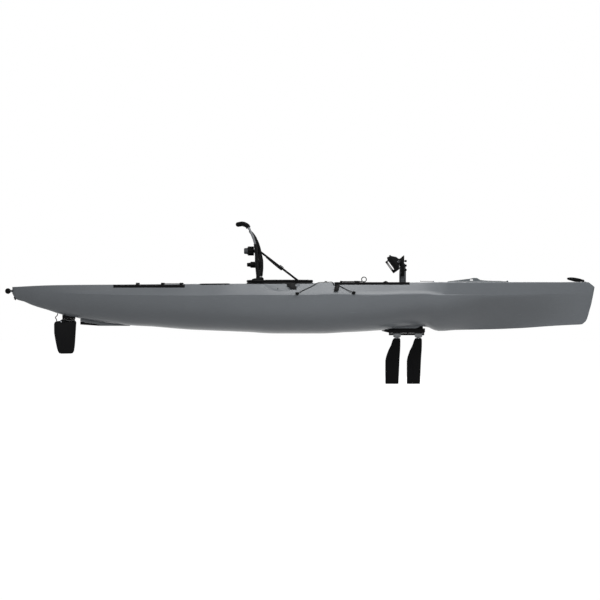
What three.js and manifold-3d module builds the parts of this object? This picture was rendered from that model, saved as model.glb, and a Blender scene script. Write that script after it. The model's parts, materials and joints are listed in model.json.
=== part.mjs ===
// A sit-on pedal kayak: a hollow moulded hull, a framed seat, a two-fin pedal drive and a kick-up rudder.
// Millimetres. +X points to the bow, +Y to port and +Z up. The origin lies on the flat of the keel.
import * as THREE from "three";
import { mergeVertices } from "three/addons/utils/BufferGeometryUtils.js";
import Module from "manifold-3d";

const wasm = await Module();
wasm.setup();

// Clearances and cuts
const gap = 0.3;
const bearingGap = 0.4;
const overrun = 20;
const weld = 0.001;
const degree = Math.PI / 180;

// Hull
const hullLength = 4869;
const hullBeam = 720;
const hullDepth = 430;
const wall = 6;
const keelFlatWidth = 44;
const deckEdgeDrop = 6;
const keelPlaceShare = 0.49374;
const sternX = -hullLength * keelPlaceShare;
const bowX = sternX + hullLength;
const creaseShare = 0.76;
const deckEdgeShare = 0.93;

// Places along the hull that the cargo well, the drive, the bow hatch and the rudder keep to
const cargoX = sternX + 0.2365 * hullLength;
const driveX = sternX + 0.674475 * hullLength;
const hatchX = sternX + 0.798115 * hullLength;
const rudderX = sternX + 0.097149 * hullLength;

// Each row holds a place along the hull and a share of the beam, depth or local half beam there
const beamShares = [
  [0, 0.05], [0.02, 0.14], [0.061, 0.28], [0.11, 0.42], [0.17, 0.575], [0.24, 0.73], [0.3225, 0.87],
  [0.4, 0.96], [0.4937, 1], [0.57, 0.99], [0.65, 0.925], [0.7244, 0.82], [0.8, 0.655], [0.858, 0.5],
  [0.913, 0.33], [0.94, 0.235], [0.968, 0.135], [0.9835, 0.075], [0.994, 0.04], [1, 0.03],
];
const keelShares = [
  [0, 0.778], [0.0064, 0.671], [0.02, 0.622], [0.034, 0.554], [0.0614, 0.457], [0.0887, 0.36],
  [0.11, 0.31], [0.12, 0.285], [0.175, 0.205], [0.202, 0.16], [0.24, 0.136], [0.281, 0.097],
  [0.3225, 0.068], [0.364, 0.0486], [0.405, 0.029], [0.46, 0], [0.52, 0], [0.57, 0.024],
  [0.625, 0.058], [0.6488, 0.085], [0.67, 0.125], [0.7, 0.135], [0.7139, 0.12], [0.7244, 0.068],
  [0.7346, 0.0486], [0.7622, 0.068], [0.8032, 0.078], [0.8583, 0.097], [0.9133, 0.136], [0.9406, 0.156],
  [0.9682, 0.171], [0.9751, 0.175], [0.9835, 0.223], [0.987, 0.281], [0.9906, 0.419], [0.994, 0.553],
  [0.9973, 0.729], [1, 0.89],
];
const deckShares = [
  [0, 0.905], [0.0887, 0.943], [0.19, 0.952], [0.298, 0.963], [0.4, 0.972], [0.5165, 0.981],
  [0.5525, 0.993], [0.6815, 0.993], [0.734, 1], [0.987, 1], [0.994, 0.96], [1, 0.905],
];
const bottomRoundShares = [
  [0, 1.6], [0.1, 1.9], [0.25, 2.5], [0.5, 3], [0.65, 2.6], [0.75, 1.9], [0.85, 1.35], [1, 1.15],
];
const bottomFlareShares = [
  [0, 1.6], [0.25, 2.4], [0.5, 2.9], [0.65, 2.4], [0.75, 1.6], [0.83, 1.05], [0.9, 0.9], [1, 1],
];
const leanShares = [
  [0, 0], [0.08, 0.03], [0.15, 0.1], [0.3, 0.15], [0.68, 0.15], [0.74, 0.11], [0.77, 0.03], [1, 0],
];
const stationShares = [
  0, 0.0064, 0.02, 0.034, 0.0614, 0.0887, 0.11, 0.14, 0.175, 0.21, 0.24, 0.281, 0.3225, 0.364, 0.405, 0.43, 0.46,
  0.52, 0.5525, 0.6, 0.625, 0.6488, 0.6574, 0.67, 0.6815, 0.7, 0.7139, 0.7244, 0.7346, 0.762, 0.8, 0.83, 0.858,
  0.885, 0.913, 0.94, 0.968, 0.9751, 0.9835, 0.987, 0.9906, 0.994, 0.9973, 1,
];
const bottomSteps = 8;
const cavityStartShare = 0.012;
const cavityEndShare = 0.955;

// Wells moulded into the deck
const sideDeck = 62;
const cockpitReach = { aft: 560, foreOfDrive: 220 };
const cockpit = { aft: -cockpitReach.aft, fore: driveX + cockpitReach.foreOfDrive, floor: 120, draft: 30 };
const cargoHalfLength = 292.5;
const cargoWell = { aft: cargoX - cargoHalfLength, fore: cargoX + cargoHalfLength, floor: 230, draft: 20 };
const wellRoundPower = 6;
const wellPoints = 28;
const driveReach = { aft: 180, fore: 156 };
const driveWell = { aft: driveX - driveReach.aft, fore: driveX + driveReach.fore, halfWidth: 52 };
const scoop = { aft: -307, fore: 2, depth: 3.5, riseShare: 0.72 };

// Bow hatch
const hatchHalfLength = 240;
const hatch = {
  aft: hatchX - hatchHalfLength,
  fore: hatchX + hatchHalfLength,
  halfWidth: 135,
  rimWidth: 14,
  rimDrop: 22,
  rimRise: 0.8,
  lidLap: 8,
};
const hatchRoundPower = 3;
const lid = { edge: 3, dome: 6, ridgeHalfWidth: 20, ridgeTipHalfWidth: 8, stations: 18 };
const ridgeHeight = 34;
const ridgeShares = [[0, 0.08], [0.2, 0.45], [0.4, 0.8], [0.485, 1], [0.54, 0.5], [0.75, 0.25], [1, 0.08]];
const ridgeHolePlace = { setBack: 46, length: 26 };
const ridgeHole = {
  aft: hatchX - ridgeHolePlace.setBack - ridgeHolePlace.length / 2,
  fore: hatchX - ridgeHolePlace.setBack + ridgeHolePlace.length / 2,
  bottom: 7,
  top: 22,
};
const hinge = { pinRadius: 3, barrelRadius: 6, barrelHalf: 60, lugHalf: 8 };
const latchSetForward = 18;
const latch = {
  pivotX: cockpit.fore + latchSetForward,
  reach: 108,
  width: 24,
  thick: 4,
  barrelRadius: 5,
  pinRadius: 2.5,
  lugWidth: 5,
};

// Round hatch in the cockpit floor
const roundHatch = {
  x: 420, radius: 96, flange: 16, flangeThick: 6, collar: 5, lidThick: 6, gripHeight: 14,
  gripWidth: 16,
};

// Gear tracks let into the edges of the deck
const track = { width: 30, height: 22, slot: 9, throat: 16, lip: 4, slotDepth: 12, inset: 2 };
const trackReach = { aft: 290, foreOfDrive: 34 };
const pastWell = { aft: 8, fore: 9 };
const cockpitTrack = { aft: trackReach.aft, fore: driveX + trackReach.foreOfDrive, rise: 2 };
const sternTrack = { aft: cargoWell.aft - pastWell.aft, fore: cargoWell.fore + pastWell.fore, rise: -6 };
const lug = { length: 24, width: 10, height: 19, holeRadius: 5.6, holeRise: 12 };
const lugReaches = [199, 410, 568];
const lugPlaces = lugReaches.map((reach) => sternTrack.aft + reach);

// Paddle keeper on the starboard side
const eye = { baseRadius: 13, baseThick: 4, ringRadius: 9, ringTube: 3.5 };
const eyePlaces = { aft: -19, fore: 447 };
const eyeRiseShare = 0.12;
const bungeeRadius = 2.5;
const hook = { aft: 283, fore: 334, thick: 10, lean: 14, lift: 7.4 };
const hookRiseShares = [0.28, 0.88];

// Handles
const bowHandleSetBack = 93;
const bowHandle = {
  pivotX: bowX - bowHandleSetBack,
  length: 136,
  width: 30,
  crest: 27,
  rise: 12,
  pinRadius: 4,
};

// The leaf outline of the bow handle: a share of its length aft of the pin, and of its crest above the pin
const bowHandleShares = [
  [1, 0.81], [0.88, 1], [0.64, 1], [0.33, 0.76], [0.09, 0.42], [-0.044, 0.22], [-0.062, 0], [-0.035, -0.24],
  [0.1, -0.31], [0.17, -0.4], [0.4, -0.4], [0.58, -0.28], [0.76, -0.01], [0.98, 0.36],
];
const bowBase = { length: 44, thick: 5, cheek: 5, rise: 10 };
const sternHandleRiseShare = 0.375;
const sternHandle = { gripRadius: 24, gripHalf: 46, reach: 26, lugThick: 10, cheek: 7, pinRadius: 4 };
const drainInboard = 26;
const drain = {
  x: sternX + drainInboard, sink: 2.4, tilt: 34, headRadius: 15, headThick: 9, ridgeReach: 14.4,
  shankRadius: 8, shankLength: 16,
};

// Skeg under the stern
const skegReach = { gap: 96, pad: 164, keel: 253 };
const skeg = {
  aft: rudderX + skegReach.gap,
  step: rudderX + skegReach.gap + skegReach.pad,
  fore: rudderX + skegReach.gap + skegReach.pad + skegReach.keel,
  halfWidth: 14,
  aftBottom: 75,
  bottom: 64,
  top: 150,
};
const wearPad = { aftTop: 100, foreTop: 74 };

// Rudder
const rudder = { x: rudderX, housingHalf: 55, housingHalfWidth: 28, housingBottom: 121, housingTop: 190 };
const spindle = { radius: 10, top: 237, drumRadius: 40, drumThick: 12 };
const yokeReach = { aft: 54, fore: 51, pivot: 64 };
const yoke = {
  aft: rudderX - yokeReach.aft,
  fore: rudderX + yokeReach.fore,
  thick: 13,
  halfWidth: 16,
  cheek: 6.6,
};
const bladePivot = { x: rudderX - yokeReach.pivot, z: 100, radius: 4 };
const blade = { thick: 18, edge: 5, rootGap: 2 };
const liftLineRadius = 2.5;

// Lift handle, its cleat, and the steering lever
const liftCleat = {
  x: 470, length: 33, width: 16, height: 13, inset: 56, plate: 2, guideAft: 336, guideLength: 14,
};
const liftHandle = { ringX: 535, ringRadius: 20, cordRadius: 2.6, stopperRadius: 6, stopperLength: 12 };
const steering = {
  x: 180, inset: 37, pocketAft: 110, pocketFore: 250, pocketFloor: 392, baseRadius: 24, baseThick: 10,
};
const lever = { hubRadius: 20, hubThick: 9, length: 84, width: 22, pinRadius: 5 };
const cableRadius = 3;
const cableInboard = 28;

// Each row is a share of the way from the rudder to the lever, of the hull's half width and of its depth
const cableShares = [
  [0.0715, 0.48, 0.609], [0.157, 0.74, 0.698], [0.2515, 0.97, 0.749], [0.3936, 1, 0.767], [0.583, 1, 0.767],
  [0.82, 1, 0.767], [0.943, 1, 0.779],
];

// Seat
const seat = { aft: -430, fore: 100, halfWidth: 252, tube: 11, cornerRadius: 55 };
const mount = {
  steps: 6, thick: 4, clearOfWell: 4, tabAft: -107, tabFore: -27, tabThick: 5, tabRiseShare: 0.5,
};
const cushion = { aft: -292, thick: 16, cornerRadius: 45, drop: 3 };
const backHinge = { x: -315, rise: 21, rodRadius: 5, earThick: 8, earHalf: 19, eyeHalf: 8 };
const back = {
  footDrop: 4, footRise: 22, tube: 9.5, halfWidth: 180, behindPad: 11, plateGap: 3.65, footX: -352,
  padHalfWidth: 200, padTopHalfWidth: 120,
};
const pad = { bottom: 472, thick: 22, centreX: -329, wrap: 34 };
const leanBack = [[472, -9], [495, -5], [586, 0], [668, -11], [765, -31], [874, -91]];
const tubeLean = [[586, 0], [668, -2], [765, -15]];
const backShoulder = { x: -406, z: 840, inset: 6 };
const backTop = {
  bendX: -437, bendZ: 899, bendInset: 16, crestZ: 916, barX: -512, barZ: 912, halfWidth: 150,
  cornerRun: 40,
};
const gripRadius = 19;
const heightKnob = { z: 690, radius: 40, length: 84, tip: 30, plateHalf: 34, plateThick: 8 };
const lumbarKnob = { z: 575, radius: 26, length: 78, tip: 18, plateHalf: 30, plateThick: 8 };
const knobPinRadius = 6;
const strap = { thick: 3, depth: 14, topX: -309, topZ: 668, footX: -5, clearOfFrame: 2 };

// Pedal drive
const axle = { x: driveX, z: 230, radius: 8, half: 62 };
const shoulder = { aft: 30, fore: 40, rise: 40 };
const spine = {
  halfLength: 120,
  headHalf: 36,
  halfWidth: 24,
  top: 272,
  flangeThick: 10,
  flangeLap: 10,
  rootHalfWidth: 40,
};
const tipShare = 0.8;
const plateLip = { aft: 15, fore: 11 };
const basePlate = {
  aft: driveWell.aft - plateLip.aft,
  fore: driveWell.fore + plateLip.fore,
  bottom: 4,
  top: 43,
  halfWidth: 46,
  tipLength: 70,
  noseCut: 8,
  underKeel: 2,
};
const mastReach = { fore: 113, aft: 67 };
const mast = {
  foreX: driveX + mastReach.fore,
  aftX: driveX - mastReach.aft,
  z: -6,
  hubRadius: 30,
  hubHalf: 32,
  rodRadius: 6,
  rodBottom: -404,
  pinRadius: 9,
};
const mastPost = { fromTip: 60, fromNose: 6, half: 5 };
const fin = { top: -37, bottom: -421, noseThick: 20, tailThick: 4, boreClear: 0.5 };
const finNoseShares = [[0, 24], [0.05, 29], [0.5, 21], [1, 13]];
const finTailShares = [
  [0, -26], [0.03, -33], [0.06, -39], [0.154, -50], [0.284, -75], [0.414, -92], [0.5, -98], [1, -98],
];
const crank = {
  gapToSpine: 2, thick: 16, hubRadius: 30, neckHalf: 22, half: 28, leanBack: 20, top: 585, topHalf: 22,
};
const post = { thick: 13, half: 13, bottom: 480, top: 646, lugHalf: 13, pinRadius: 6, pinLength: 112 };
const pedalSetBack = 58;
const pedal = {
  x: driveX - pedalSetBack, z: 600, tilt: -54, length: 140, width: 98, thick: 10, tubeRadius: 11,
  offset: 25, slide: -16, clear: 4,
};
const toeStrap = { length: 104, thick: 4, rise: 46 };
const driveLatchSetBack = 90;
const driveLatch = {
  x: driveX - driveLatchSetBack,
  y: 80,
  postRadius: 13,
  length: 32,
  width: 24,
  thick: 8,
};

// Geometry helpers

function bareSolid(geometry) {
  const bare = geometry.index ? geometry.toNonIndexed() : geometry.clone();
  bare.deleteAttribute("normal");
  bare.deleteAttribute("uv");
  const merged = mergeVertices(bare, weld);
  const triVerts = new Uint32Array(merged.index.array);
  const vertProperties = new Float32Array(merged.attributes.position.array);
  const made = new wasm.Manifold(new wasm.Mesh({ numProp: 3, vertProperties, triVerts }));
  if (made.volume() > 0) return made;
  for (let i = 0; i < triVerts.length; i += 3) {
    [triVerts[i + 1], triVerts[i + 2]] = [triVerts[i + 2], triVerts[i + 1]];
  }
  return new wasm.Manifold(new wasm.Mesh({ numProp: 3, vertProperties, triVerts }));
}

function geometryOf(solid) {
  const data = solid.getMesh();
  const geometry = new THREE.BufferGeometry();
  geometry.setAttribute("position", new THREE.BufferAttribute(data.vertProperties, 3));
  geometry.setIndex(new THREE.BufferAttribute(data.triVerts, 1));
  const faceted = geometry.toNonIndexed();
  faceted.computeVertexNormals();
  return faceted;
}

function union(solids) {
  return solids.reduce((sum, next) => sum.add(next));
}

function cut(solid, cutters) {
  return cutters.reduce((rest, cutter) => rest.subtract(cutter), solid);
}

function moved(solid, x, y, z) {
  return solid.translate([x, y, z]);
}

function mirrored(solid) {
  return solid.mirror([0, 1, 0]);
}

function block(x, y, z) {
  const geometry = new THREE.BoxGeometry(x[1] - x[0], y[1] - y[0], z[1] - z[0]);
  geometry.translate((x[0] + x[1]) / 2, (y[0] + y[1]) / 2, (z[0] + z[1]) / 2);
  return bareSolid(geometry);
}

function rod(axis, radius, from, to, centre, sides = 16, tipRadius = radius) {
  const geometry = new THREE.CylinderGeometry(tipRadius, radius, to - from, sides);
  geometry.translate(0, (from + to) / 2, 0);
  if (axis === "x") geometry.rotateZ(-Math.PI / 2);
  if (axis === "z") geometry.rotateX(Math.PI / 2);
  geometry.translate(centre[0], centre[1], centre[2]);
  return bareSolid(geometry);
}

// An outline of [x, y] points raised between two heights
function raised(outline, z) {
  const shape = new THREE.Shape(outline.map(([x, y]) => new THREE.Vector2(x, y)));
  const geometry = new THREE.ExtrudeGeometry(shape, { depth: z[1] - z[0], bevelEnabled: false });
  geometry.translate(0, 0, z[0]);
  return bareSolid(geometry);
}

// An outline of [x, z] points seen from the side, given a width in Y
function across(outline, y) {
  const shape = new THREE.Shape(outline.map(([x, z]) => new THREE.Vector2(x, z)));
  const geometry = new THREE.ExtrudeGeometry(shape, { depth: y[1] - y[0], bevelEnabled: false });
  geometry.rotateX(Math.PI / 2);
  geometry.translate(0, y[1], 0);
  return bareSolid(geometry);
}

// An outline of [y, z] points seen from ahead, given a length in X
function along(outline, x) {
  const shape = new THREE.Shape(outline.map(([y, z]) => new THREE.Vector2(y, z)));
  const geometry = new THREE.ExtrudeGeometry(shape, { depth: x[1] - x[0], bevelEnabled: false });
  geometry.rotateX(Math.PI / 2);
  geometry.rotateZ(Math.PI / 2);
  geometry.translate(x[0], 0, 0);
  return bareSolid(geometry);
}

// A closed skin through rings of [x, y, z] points, with both ends filled. All rings are flat along one axis.
function loft(rings, flat) {
  const count = rings[0].length;
  const positions = rings.flat(2);
  const triangles = [];
  for (let r = 0; r + 1 < rings.length; r += 1) {
    for (let i = 0; i < count; i += 1) {
      const a = r * count + i;
      const b = r * count + ((i + 1) % count);
      triangles.push(a, b, b + count, a, b + count, a + count);
    }
  }
  for (const end of [0, rings.length - 1]) {
    const outline = rings[end].map((p) => new THREE.Vector2(...p.filter((_, k) => k !== flat)));
    const faces = THREE.ShapeUtils.triangulateShape(outline, []);
    const faceArea = (face) => THREE.ShapeUtils.area(face.map((k) => outline[k]));
    const forward = faces.reduce((sum, face) => sum + faceArea(face), 0) * THREE.ShapeUtils.area(outline) > 0;
    const start = end * count;
    for (const [a, b, c] of faces) {
      const kept = forward === (end > 0);
      triangles.push(start + a, start + (kept ? b : c), start + (kept ? c : b));
    }
  }
  const geometry = new THREE.BufferGeometry();
  geometry.setAttribute("position", new THREE.Float32BufferAttribute(positions, 3));
  geometry.setIndex(triangles);
  return bareSolid(geometry);
}

function circle(radius, sides) {
  const points = [];
  for (let i = 0; i < sides; i += 1) {
    const turn = (i / sides) * Math.PI * 2;
    points.push([Math.cos(turn) * radius, Math.sin(turn) * radius]);
  }
  return points;
}

function tube(points, radius, steps, sides = 8) {
  const path = new THREE.CatmullRomCurve3(points.map((p) => new THREE.Vector3(...p)), false, "centripetal");
  const shape = new THREE.Shape(circle(radius, sides).map(([x, y]) => new THREE.Vector2(x, y)));
  const geometry = new THREE.ExtrudeGeometry(shape, { steps, bevelEnabled: false, extrudePath: path });
  return bareSolid(geometry);
}

// A rounded oblong outline from one end to the other, with a half width at every place
function oblong(aft, fore, halfWidthAt, power, count = wellPoints) {
  const middle = (aft + fore) / 2;
  const half = (fore - aft) / 2;
  const points = [];
  for (let i = 0; i < count; i += 1) {
    const turn = ((i + 0.5) / count) * Math.PI * 2;
    const c = Math.cos(turn);
    const s = Math.sin(turn);
    const x = middle + half * Math.sign(c) * Math.abs(c) ** (2 / power);
    points.push([x, halfWidthAt(x) * Math.sign(s) * Math.abs(s) ** (2 / power)]);
  }
  return points;
}

// A smooth curve through [place, value] rows that never overshoots them
function smoothAt(rows, place) {
  const last = rows.length - 1;
  if (place <= rows[0][0]) return rows[0][1];
  if (place >= rows[last][0]) return rows[last][1];
  const i = rows.findIndex((row, k) => k < last && place < rows[k + 1][0]);
  const rise = (k) => (rows[k + 1][1] - rows[k][1]) / (rows[k + 1][0] - rows[k][0]);
  const slope = (k) => {
    if (k === 0) return rise(0);
    if (k === last) return rise(last - 1);
    const before = rise(k - 1);
    const after = rise(k);
    return before * after <= 0 ? 0 : (2 * before * after) / (before + after);
  };
  const span = rows[i + 1][0] - rows[i][0];
  const t = (place - rows[i][0]) / span;
  const start = rows[i][1] + t * span * slope(i);
  const end = rows[i + 1][1] - (1 - t) * span * slope(i + 1);
  const blend = t * t * (3 - 2 * t);
  return start * (1 - blend) + end * blend;
}

// Hull form

function shareAt(x) {
  return (x - sternX) / hullLength;
}

function keelHeight(x) {
  return smoothAt(keelShares, shareAt(x)) * hullDepth;
}

function deckHeight(x) {
  return smoothAt(deckShares, shareAt(x)) * hullDepth;
}

function halfBeam(x) {
  return (smoothAt(beamShares, shareAt(x)) * hullBeam) / 2;
}

function gunwaleHalf(x) {
  return halfBeam(x) * (1 - smoothAt(leanShares, shareAt(x)));
}

function creaseHeight(x) {
  return keelHeight(x) + (deckHeight(x) - keelHeight(x)) * creaseShare;
}

function hullRing(x, inset) {
  const keel = keelHeight(x) + inset;
  const deck = deckHeight(x) - inset;
  const crease = keel + (deck - keel) * creaseShare;
  const beam = halfBeam(x) - inset;
  const flat = Math.min(keelFlatWidth / 2, beam / 4);
  const power = smoothAt(bottomRoundShares, shareAt(x));
  const flare = smoothAt(bottomFlareShares, shareAt(x));
  const side = [[flat, keel]];
  for (let i = 1; i <= bottomSteps; i += 1) {
    const turn = ((i / bottomSteps) * Math.PI) / 2;
    const out = Math.sin(turn) ** (2 / flare);
    const rise = 1 - Math.max(0, Math.cos(turn)) ** (2 / power);
    side.push([flat + (beam - flat) * out, keel + (crease - keel) * rise]);
  }
  const edge = gunwaleHalf(x) - inset;
  const drop = Math.min(deckEdgeDrop, (deck - crease) / 2);
  side.push([edge, deck - drop]);
  side.push([edge * deckEdgeShare, deck]);
  const port = side.map(([y, z]) => [x, y, z]);
  const starboard = side.map(([y, z]) => [x, -y, z]).reverse();
  return port.concat(starboard);
}

function hullBody(inset, from, to) {
  const places = stationShares.filter((share) => share > from && share < to);
  const ends = [from, ...places, to];
  return loft(ends.map((share) => hullRing(sternX + share * hullLength, inset)), 0);
}

const hullOuter = hullBody(0, 0, 1);

// A point on the leaning face between the crease (rise 0) and the deck edge (rise 1), to starboard
function facePoint(x, rise, off) {
  const foot = [halfBeam(x), creaseHeight(x)];
  const head = [gunwaleHalf(x), deckHeight(x) - deckEdgeDrop];
  const length = Math.hypot(head[0] - foot[0], head[1] - foot[1]);
  const out = [(head[1] - foot[1]) / length, (foot[0] - head[0]) / length];
  const y = foot[0] + (head[0] - foot[0]) * rise + out[0] * off;
  const z = foot[1] + (head[1] - foot[1]) * rise + out[1] * off;
  return [x, -y, z];
}

function faceLean(x) {
  return Math.atan2(halfBeam(x) - gunwaleHalf(x), deckHeight(x) - deckEdgeDrop - creaseHeight(x));
}

// Wells, hatch and track recesses

function wellSolid(well, grow) {
  const outlineAt = (draft) =>
    oblong(
      well.aft + draft - grow,
      well.fore - draft + grow,
      (x) => gunwaleHalf(Math.min(Math.max(x, well.aft), well.fore)) - sideDeck - draft + grow,
      wellRoundPower,
    );
  const top = Math.max(deckHeight(well.aft), deckHeight(well.fore)) + overrun;
  const heights = [well.floor - grow, top];
  const drafts = [well.draft, 0];
  const rings = heights.map((z, k) => outlineAt(drafts[k]).map(([x, y]) => [x, y, z]));
  return loft(rings, 2);
}

function driveWellSolid(grow) {
  const x = [driveWell.aft - grow, driveWell.fore + grow];
  const half = driveWell.halfWidth + grow;
  return block(x, [-half, half], [-overrun, cockpit.floor + grow]);
}

function hatchOutline(grow) {
  return oblong(hatch.aft - grow, hatch.fore + grow, () => hatch.halfWidth + grow, hatchRoundPower, 32);
}

function hatchDeck() {
  return deckHeight((hatch.aft + hatch.fore) / 2);
}

// Puts a piece made along +X from zero on the line of a track, to port
function onTrack(solid, place) {
  const aftY = gunwaleHalf(place.aft) - track.inset - track.width / 2;
  const foreY = gunwaleHalf(place.fore) - track.inset - track.width / 2;
  const turn = Math.atan2(foreY - aftY, place.fore - place.aft) / degree;
  return moved(solid.rotate([0, 0, turn]), place.aft, aftY, 0);
}

function trackTop(place) {
  return Math.max(deckHeight(place.aft), deckHeight((place.aft + place.fore) / 2)) + place.rise;
}

function trackRecess(place, grow) {
  const half = track.width / 2 + gap + grow;
  const bottom = trackTop(place) - track.height - gap - grow;
  const length = place.fore - place.aft;
  const body = block(
    [-gap - grow, length + gap + grow],
    [-half, half + overrun],
    [bottom, bottom + hullDepth],
  );
  return onTrack(body, place);
}

function steeringPocket(grow) {
  const x = [steering.pocketAft - grow, steering.pocketFore + grow];
  const outer = gunwaleHalf(steering.x) - steering.inset + steering.baseRadius + gap + grow;
  const inner = gunwaleHalf(steering.x) - sideDeck - overrun;
  return block(x, [inner, outer], [steering.pocketFloor - grow, hullDepth + overrun]);
}

function scoopSolid() {
  const middle = (scoop.aft + scoop.fore) / 2;
  const half = (scoop.fore - scoop.aft) / 2;
  const points = [];
  for (let i = 0; i <= 12; i += 1) {
    const turn = Math.PI + (i / 12) * Math.PI;
    points.push([
      half * Math.cos(turn),
      scoop.riseShare * (deckHeight(middle) - creaseHeight(middle)) * Math.sin(turn),
    ]);
  }
  const face = across(points, [-overrun, scoop.depth]);
  const turned = face.rotate([-faceLean(middle) / degree, 0, 0]);
  const at = facePoint(middle, 1, 0);
  return moved(turned, at[0], at[1], at[2]);
}

function drainHeight() {
  return keelHeight(drain.x) + drain.sink;
}

function drainAxis() {
  return [-Math.cos(drain.tilt * degree), 0, -Math.sin(drain.tilt * degree)];
}

function drainRod(radius, from, to, sides) {
  const body = rod("x", radius, from, to, [0, 0, 0], sides).rotate([0, 180 - drain.tilt, 0]);
  return moved(body, drain.x, 0, drainHeight());
}

function ridgeTop(x) {
  const share = (x - (hatch.aft - hatch.lidLap)) / (hatch.fore - hatch.aft + 2 * hatch.lidLap);
  return smoothAt(ridgeShares, share) * ridgeHeight;
}

function hatchHingePlace() {
  return [hatch.fore + hatch.lidLap + hinge.barrelRadius + gap, hatchDeck() + hinge.barrelRadius + gap];
}

// Lugs moulded on the deck, with a pin hole, for the lid's hinge and the latch
function deckLugs(x, z, halfGap, thick, holeRadius, radius) {
  const foot = z - deckHeight(x) + wall / 2;
  const outline = [
    [x - radius, z - foot], [x + radius, z - foot], [x + radius, z], [x, z + radius], [x - radius, z],
  ];
  const lugs = across(outline, [halfGap, halfGap + thick]);
  const hole = rod("y", holeRadius, -hullBeam, hullBeam, [x, 0, z], 12);
  return union([lugs, mirrored(lugs)]).subtract(hole);
}

function latchPivotHeight() {
  return deckHeight(latch.pivotX) + latch.barrelRadius + gap;
}

function sternHandleHeight() {
  const keel = keelHeight(sternX);
  return keel + (deckHeight(sternX) - keel) * sternHandleRiseShare;
}

function sternLug() {
  const axisX = sternX - sternHandle.lugThick - gap;
  const r = sternHandle.lugThick;
  const z = sternHandleHeight();
  const outline = [
    [sternX + wall, z - r], [sternX + wall, z + r], [axisX, z + r], [axisX - r, z], [axisX, z - r],
  ];
  const half = sternHandle.lugThick / 2;
  const hole = rod("y", sternHandle.pinRadius + bearingGap, -hullBeam, hullBeam, [axisX, 0, z], 12);
  return across(outline, [-half, half]).subtract(hole);
}

function hullShell() {
  const rim = (well) => wellSolid(well, wall);
  const tracks = [cockpitTrack, sternTrack];
  const both = (solid) => [solid, mirrored(solid)];
  const hatchCut = raised(hatchOutline(0), [hatchDeck() - hatch.rimDrop - overrun, hatchDeck() + overrun]);
  const cavity = cut(hullBody(wall, cavityStartShare, cavityEndShare), [
    rim(cockpit),
    rim(cargoWell),
    driveWellSolid(wall),
    ...tracks.flatMap((place) => both(trackRecess(place, wall))),
    steeringPocket(wall),
  ]);
  const hatchX = roundHatch.x;
  const roundCut = rod(
    "z",
    roundHatch.radius,
    cockpit.floor - overrun,
    cockpit.floor + overrun,
    [hatchX, 0, 0],
    32,
  );
  const spindleCut = rod(
    "z",
    spindle.radius + 2 * bearingGap,
    keelHeight(rudder.x) - overrun,
    spindle.top,
    [rudder.x, 0, 0],
    16,
  );
  const hingeAt = hatchHingePlace();
  const shell = cut(hullOuter, [
    cavity,
    wellSolid(cockpit, 0),
    wellSolid(cargoWell, 0),
    driveWellSolid(0),
    hatchCut,
    roundCut,
    spindleCut,
    scoopSolid(),
    mirrored(scoopSolid()),
    steeringPocket(0),
    drainRod(drain.shankRadius + bearingGap, -3 * overrun, overrun, 16),
    ...tracks.flatMap((place) => both(trackRecess(place, 0))),
  ]);
  return union([
    shell,
    sternLug(),
    deckLugs(
      hingeAt[0],
      hingeAt[1],
      hinge.barrelHalf + gap,
      hinge.lugHalf,
      hinge.pinRadius + bearingGap,
      hinge.barrelRadius,
    ),
    deckLugs(
      latch.pivotX,
      latchPivotHeight(),
      latch.width / 2 + gap,
      latch.lugWidth,
      latch.pinRadius / 2,
      latch.barrelRadius,
    ),
    rod(
      "y",
      latch.pinRadius,
      -latch.width / 2 - latch.lugWidth,
      latch.width / 2 + latch.lugWidth,
      [latch.pivotX, 0, latchPivotHeight()],
      12,
    ),
  ]);
}

// Skeg and its wear pad

function belowHull(solid) {
  return solid.subtract(moved(hullOuter, 0, 0, -gap));
}

function skegKeel() {
  const outline = [
    [skeg.aft, skeg.top],
    [skeg.aft, wearPad.aftTop + gap],
    [skeg.step + gap, wearPad.foreTop + gap],
    [skeg.step + gap, skeg.bottom],
    [skeg.fore, skeg.bottom],
    [skeg.fore, skeg.top],
  ];
  return belowHull(across(outline, [-skeg.halfWidth, skeg.halfWidth]));
}

function keelWearPad() {
  const outline = [
    [skeg.aft, wearPad.aftTop], [skeg.aft, skeg.aftBottom], [skeg.step, skeg.bottom],
    [skeg.step, wearPad.foreTop],
  ];
  return across(outline, [-skeg.halfWidth, skeg.halfWidth]);
}

function drainPlug() {
  const head = drainRod(drain.headRadius, gap, drain.headThick, 16);
  const shank = drainRod(drain.shankRadius, -drain.shankLength, drain.headThick / 2, 16);
  const ridgeHalf = drain.headThick / 4;
  const ridge = block(
    [0, drain.ridgeReach],
    [-drain.headRadius, drain.headRadius],
    [-ridgeHalf, ridgeHalf],
  );
  const placed = moved(ridge.rotate([0, 180 - drain.tilt, 0]), drain.x, 0, drainHeight());
  const outside = union([head, placed.subtract(drainRod(drain.headRadius * 2, -overrun, gap, 16))]);
  const [outX, outY, outZ] = drainAxis().map((part) => part * gap);
  return union([outside.subtract(moved(hullOuter, outX, outY, outZ)), shank]);
}

// Bow hatch

function bowHatchRim() {
  const z = [hatchDeck() - hatch.rimDrop, hatchDeck() + hatch.rimRise];
  const inner = raised(hatchOutline(-hatch.rimWidth), [z[0] - overrun, z[1] + overrun]);
  return raised(hatchOutline(-gap), z).subtract(inner);
}

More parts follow.
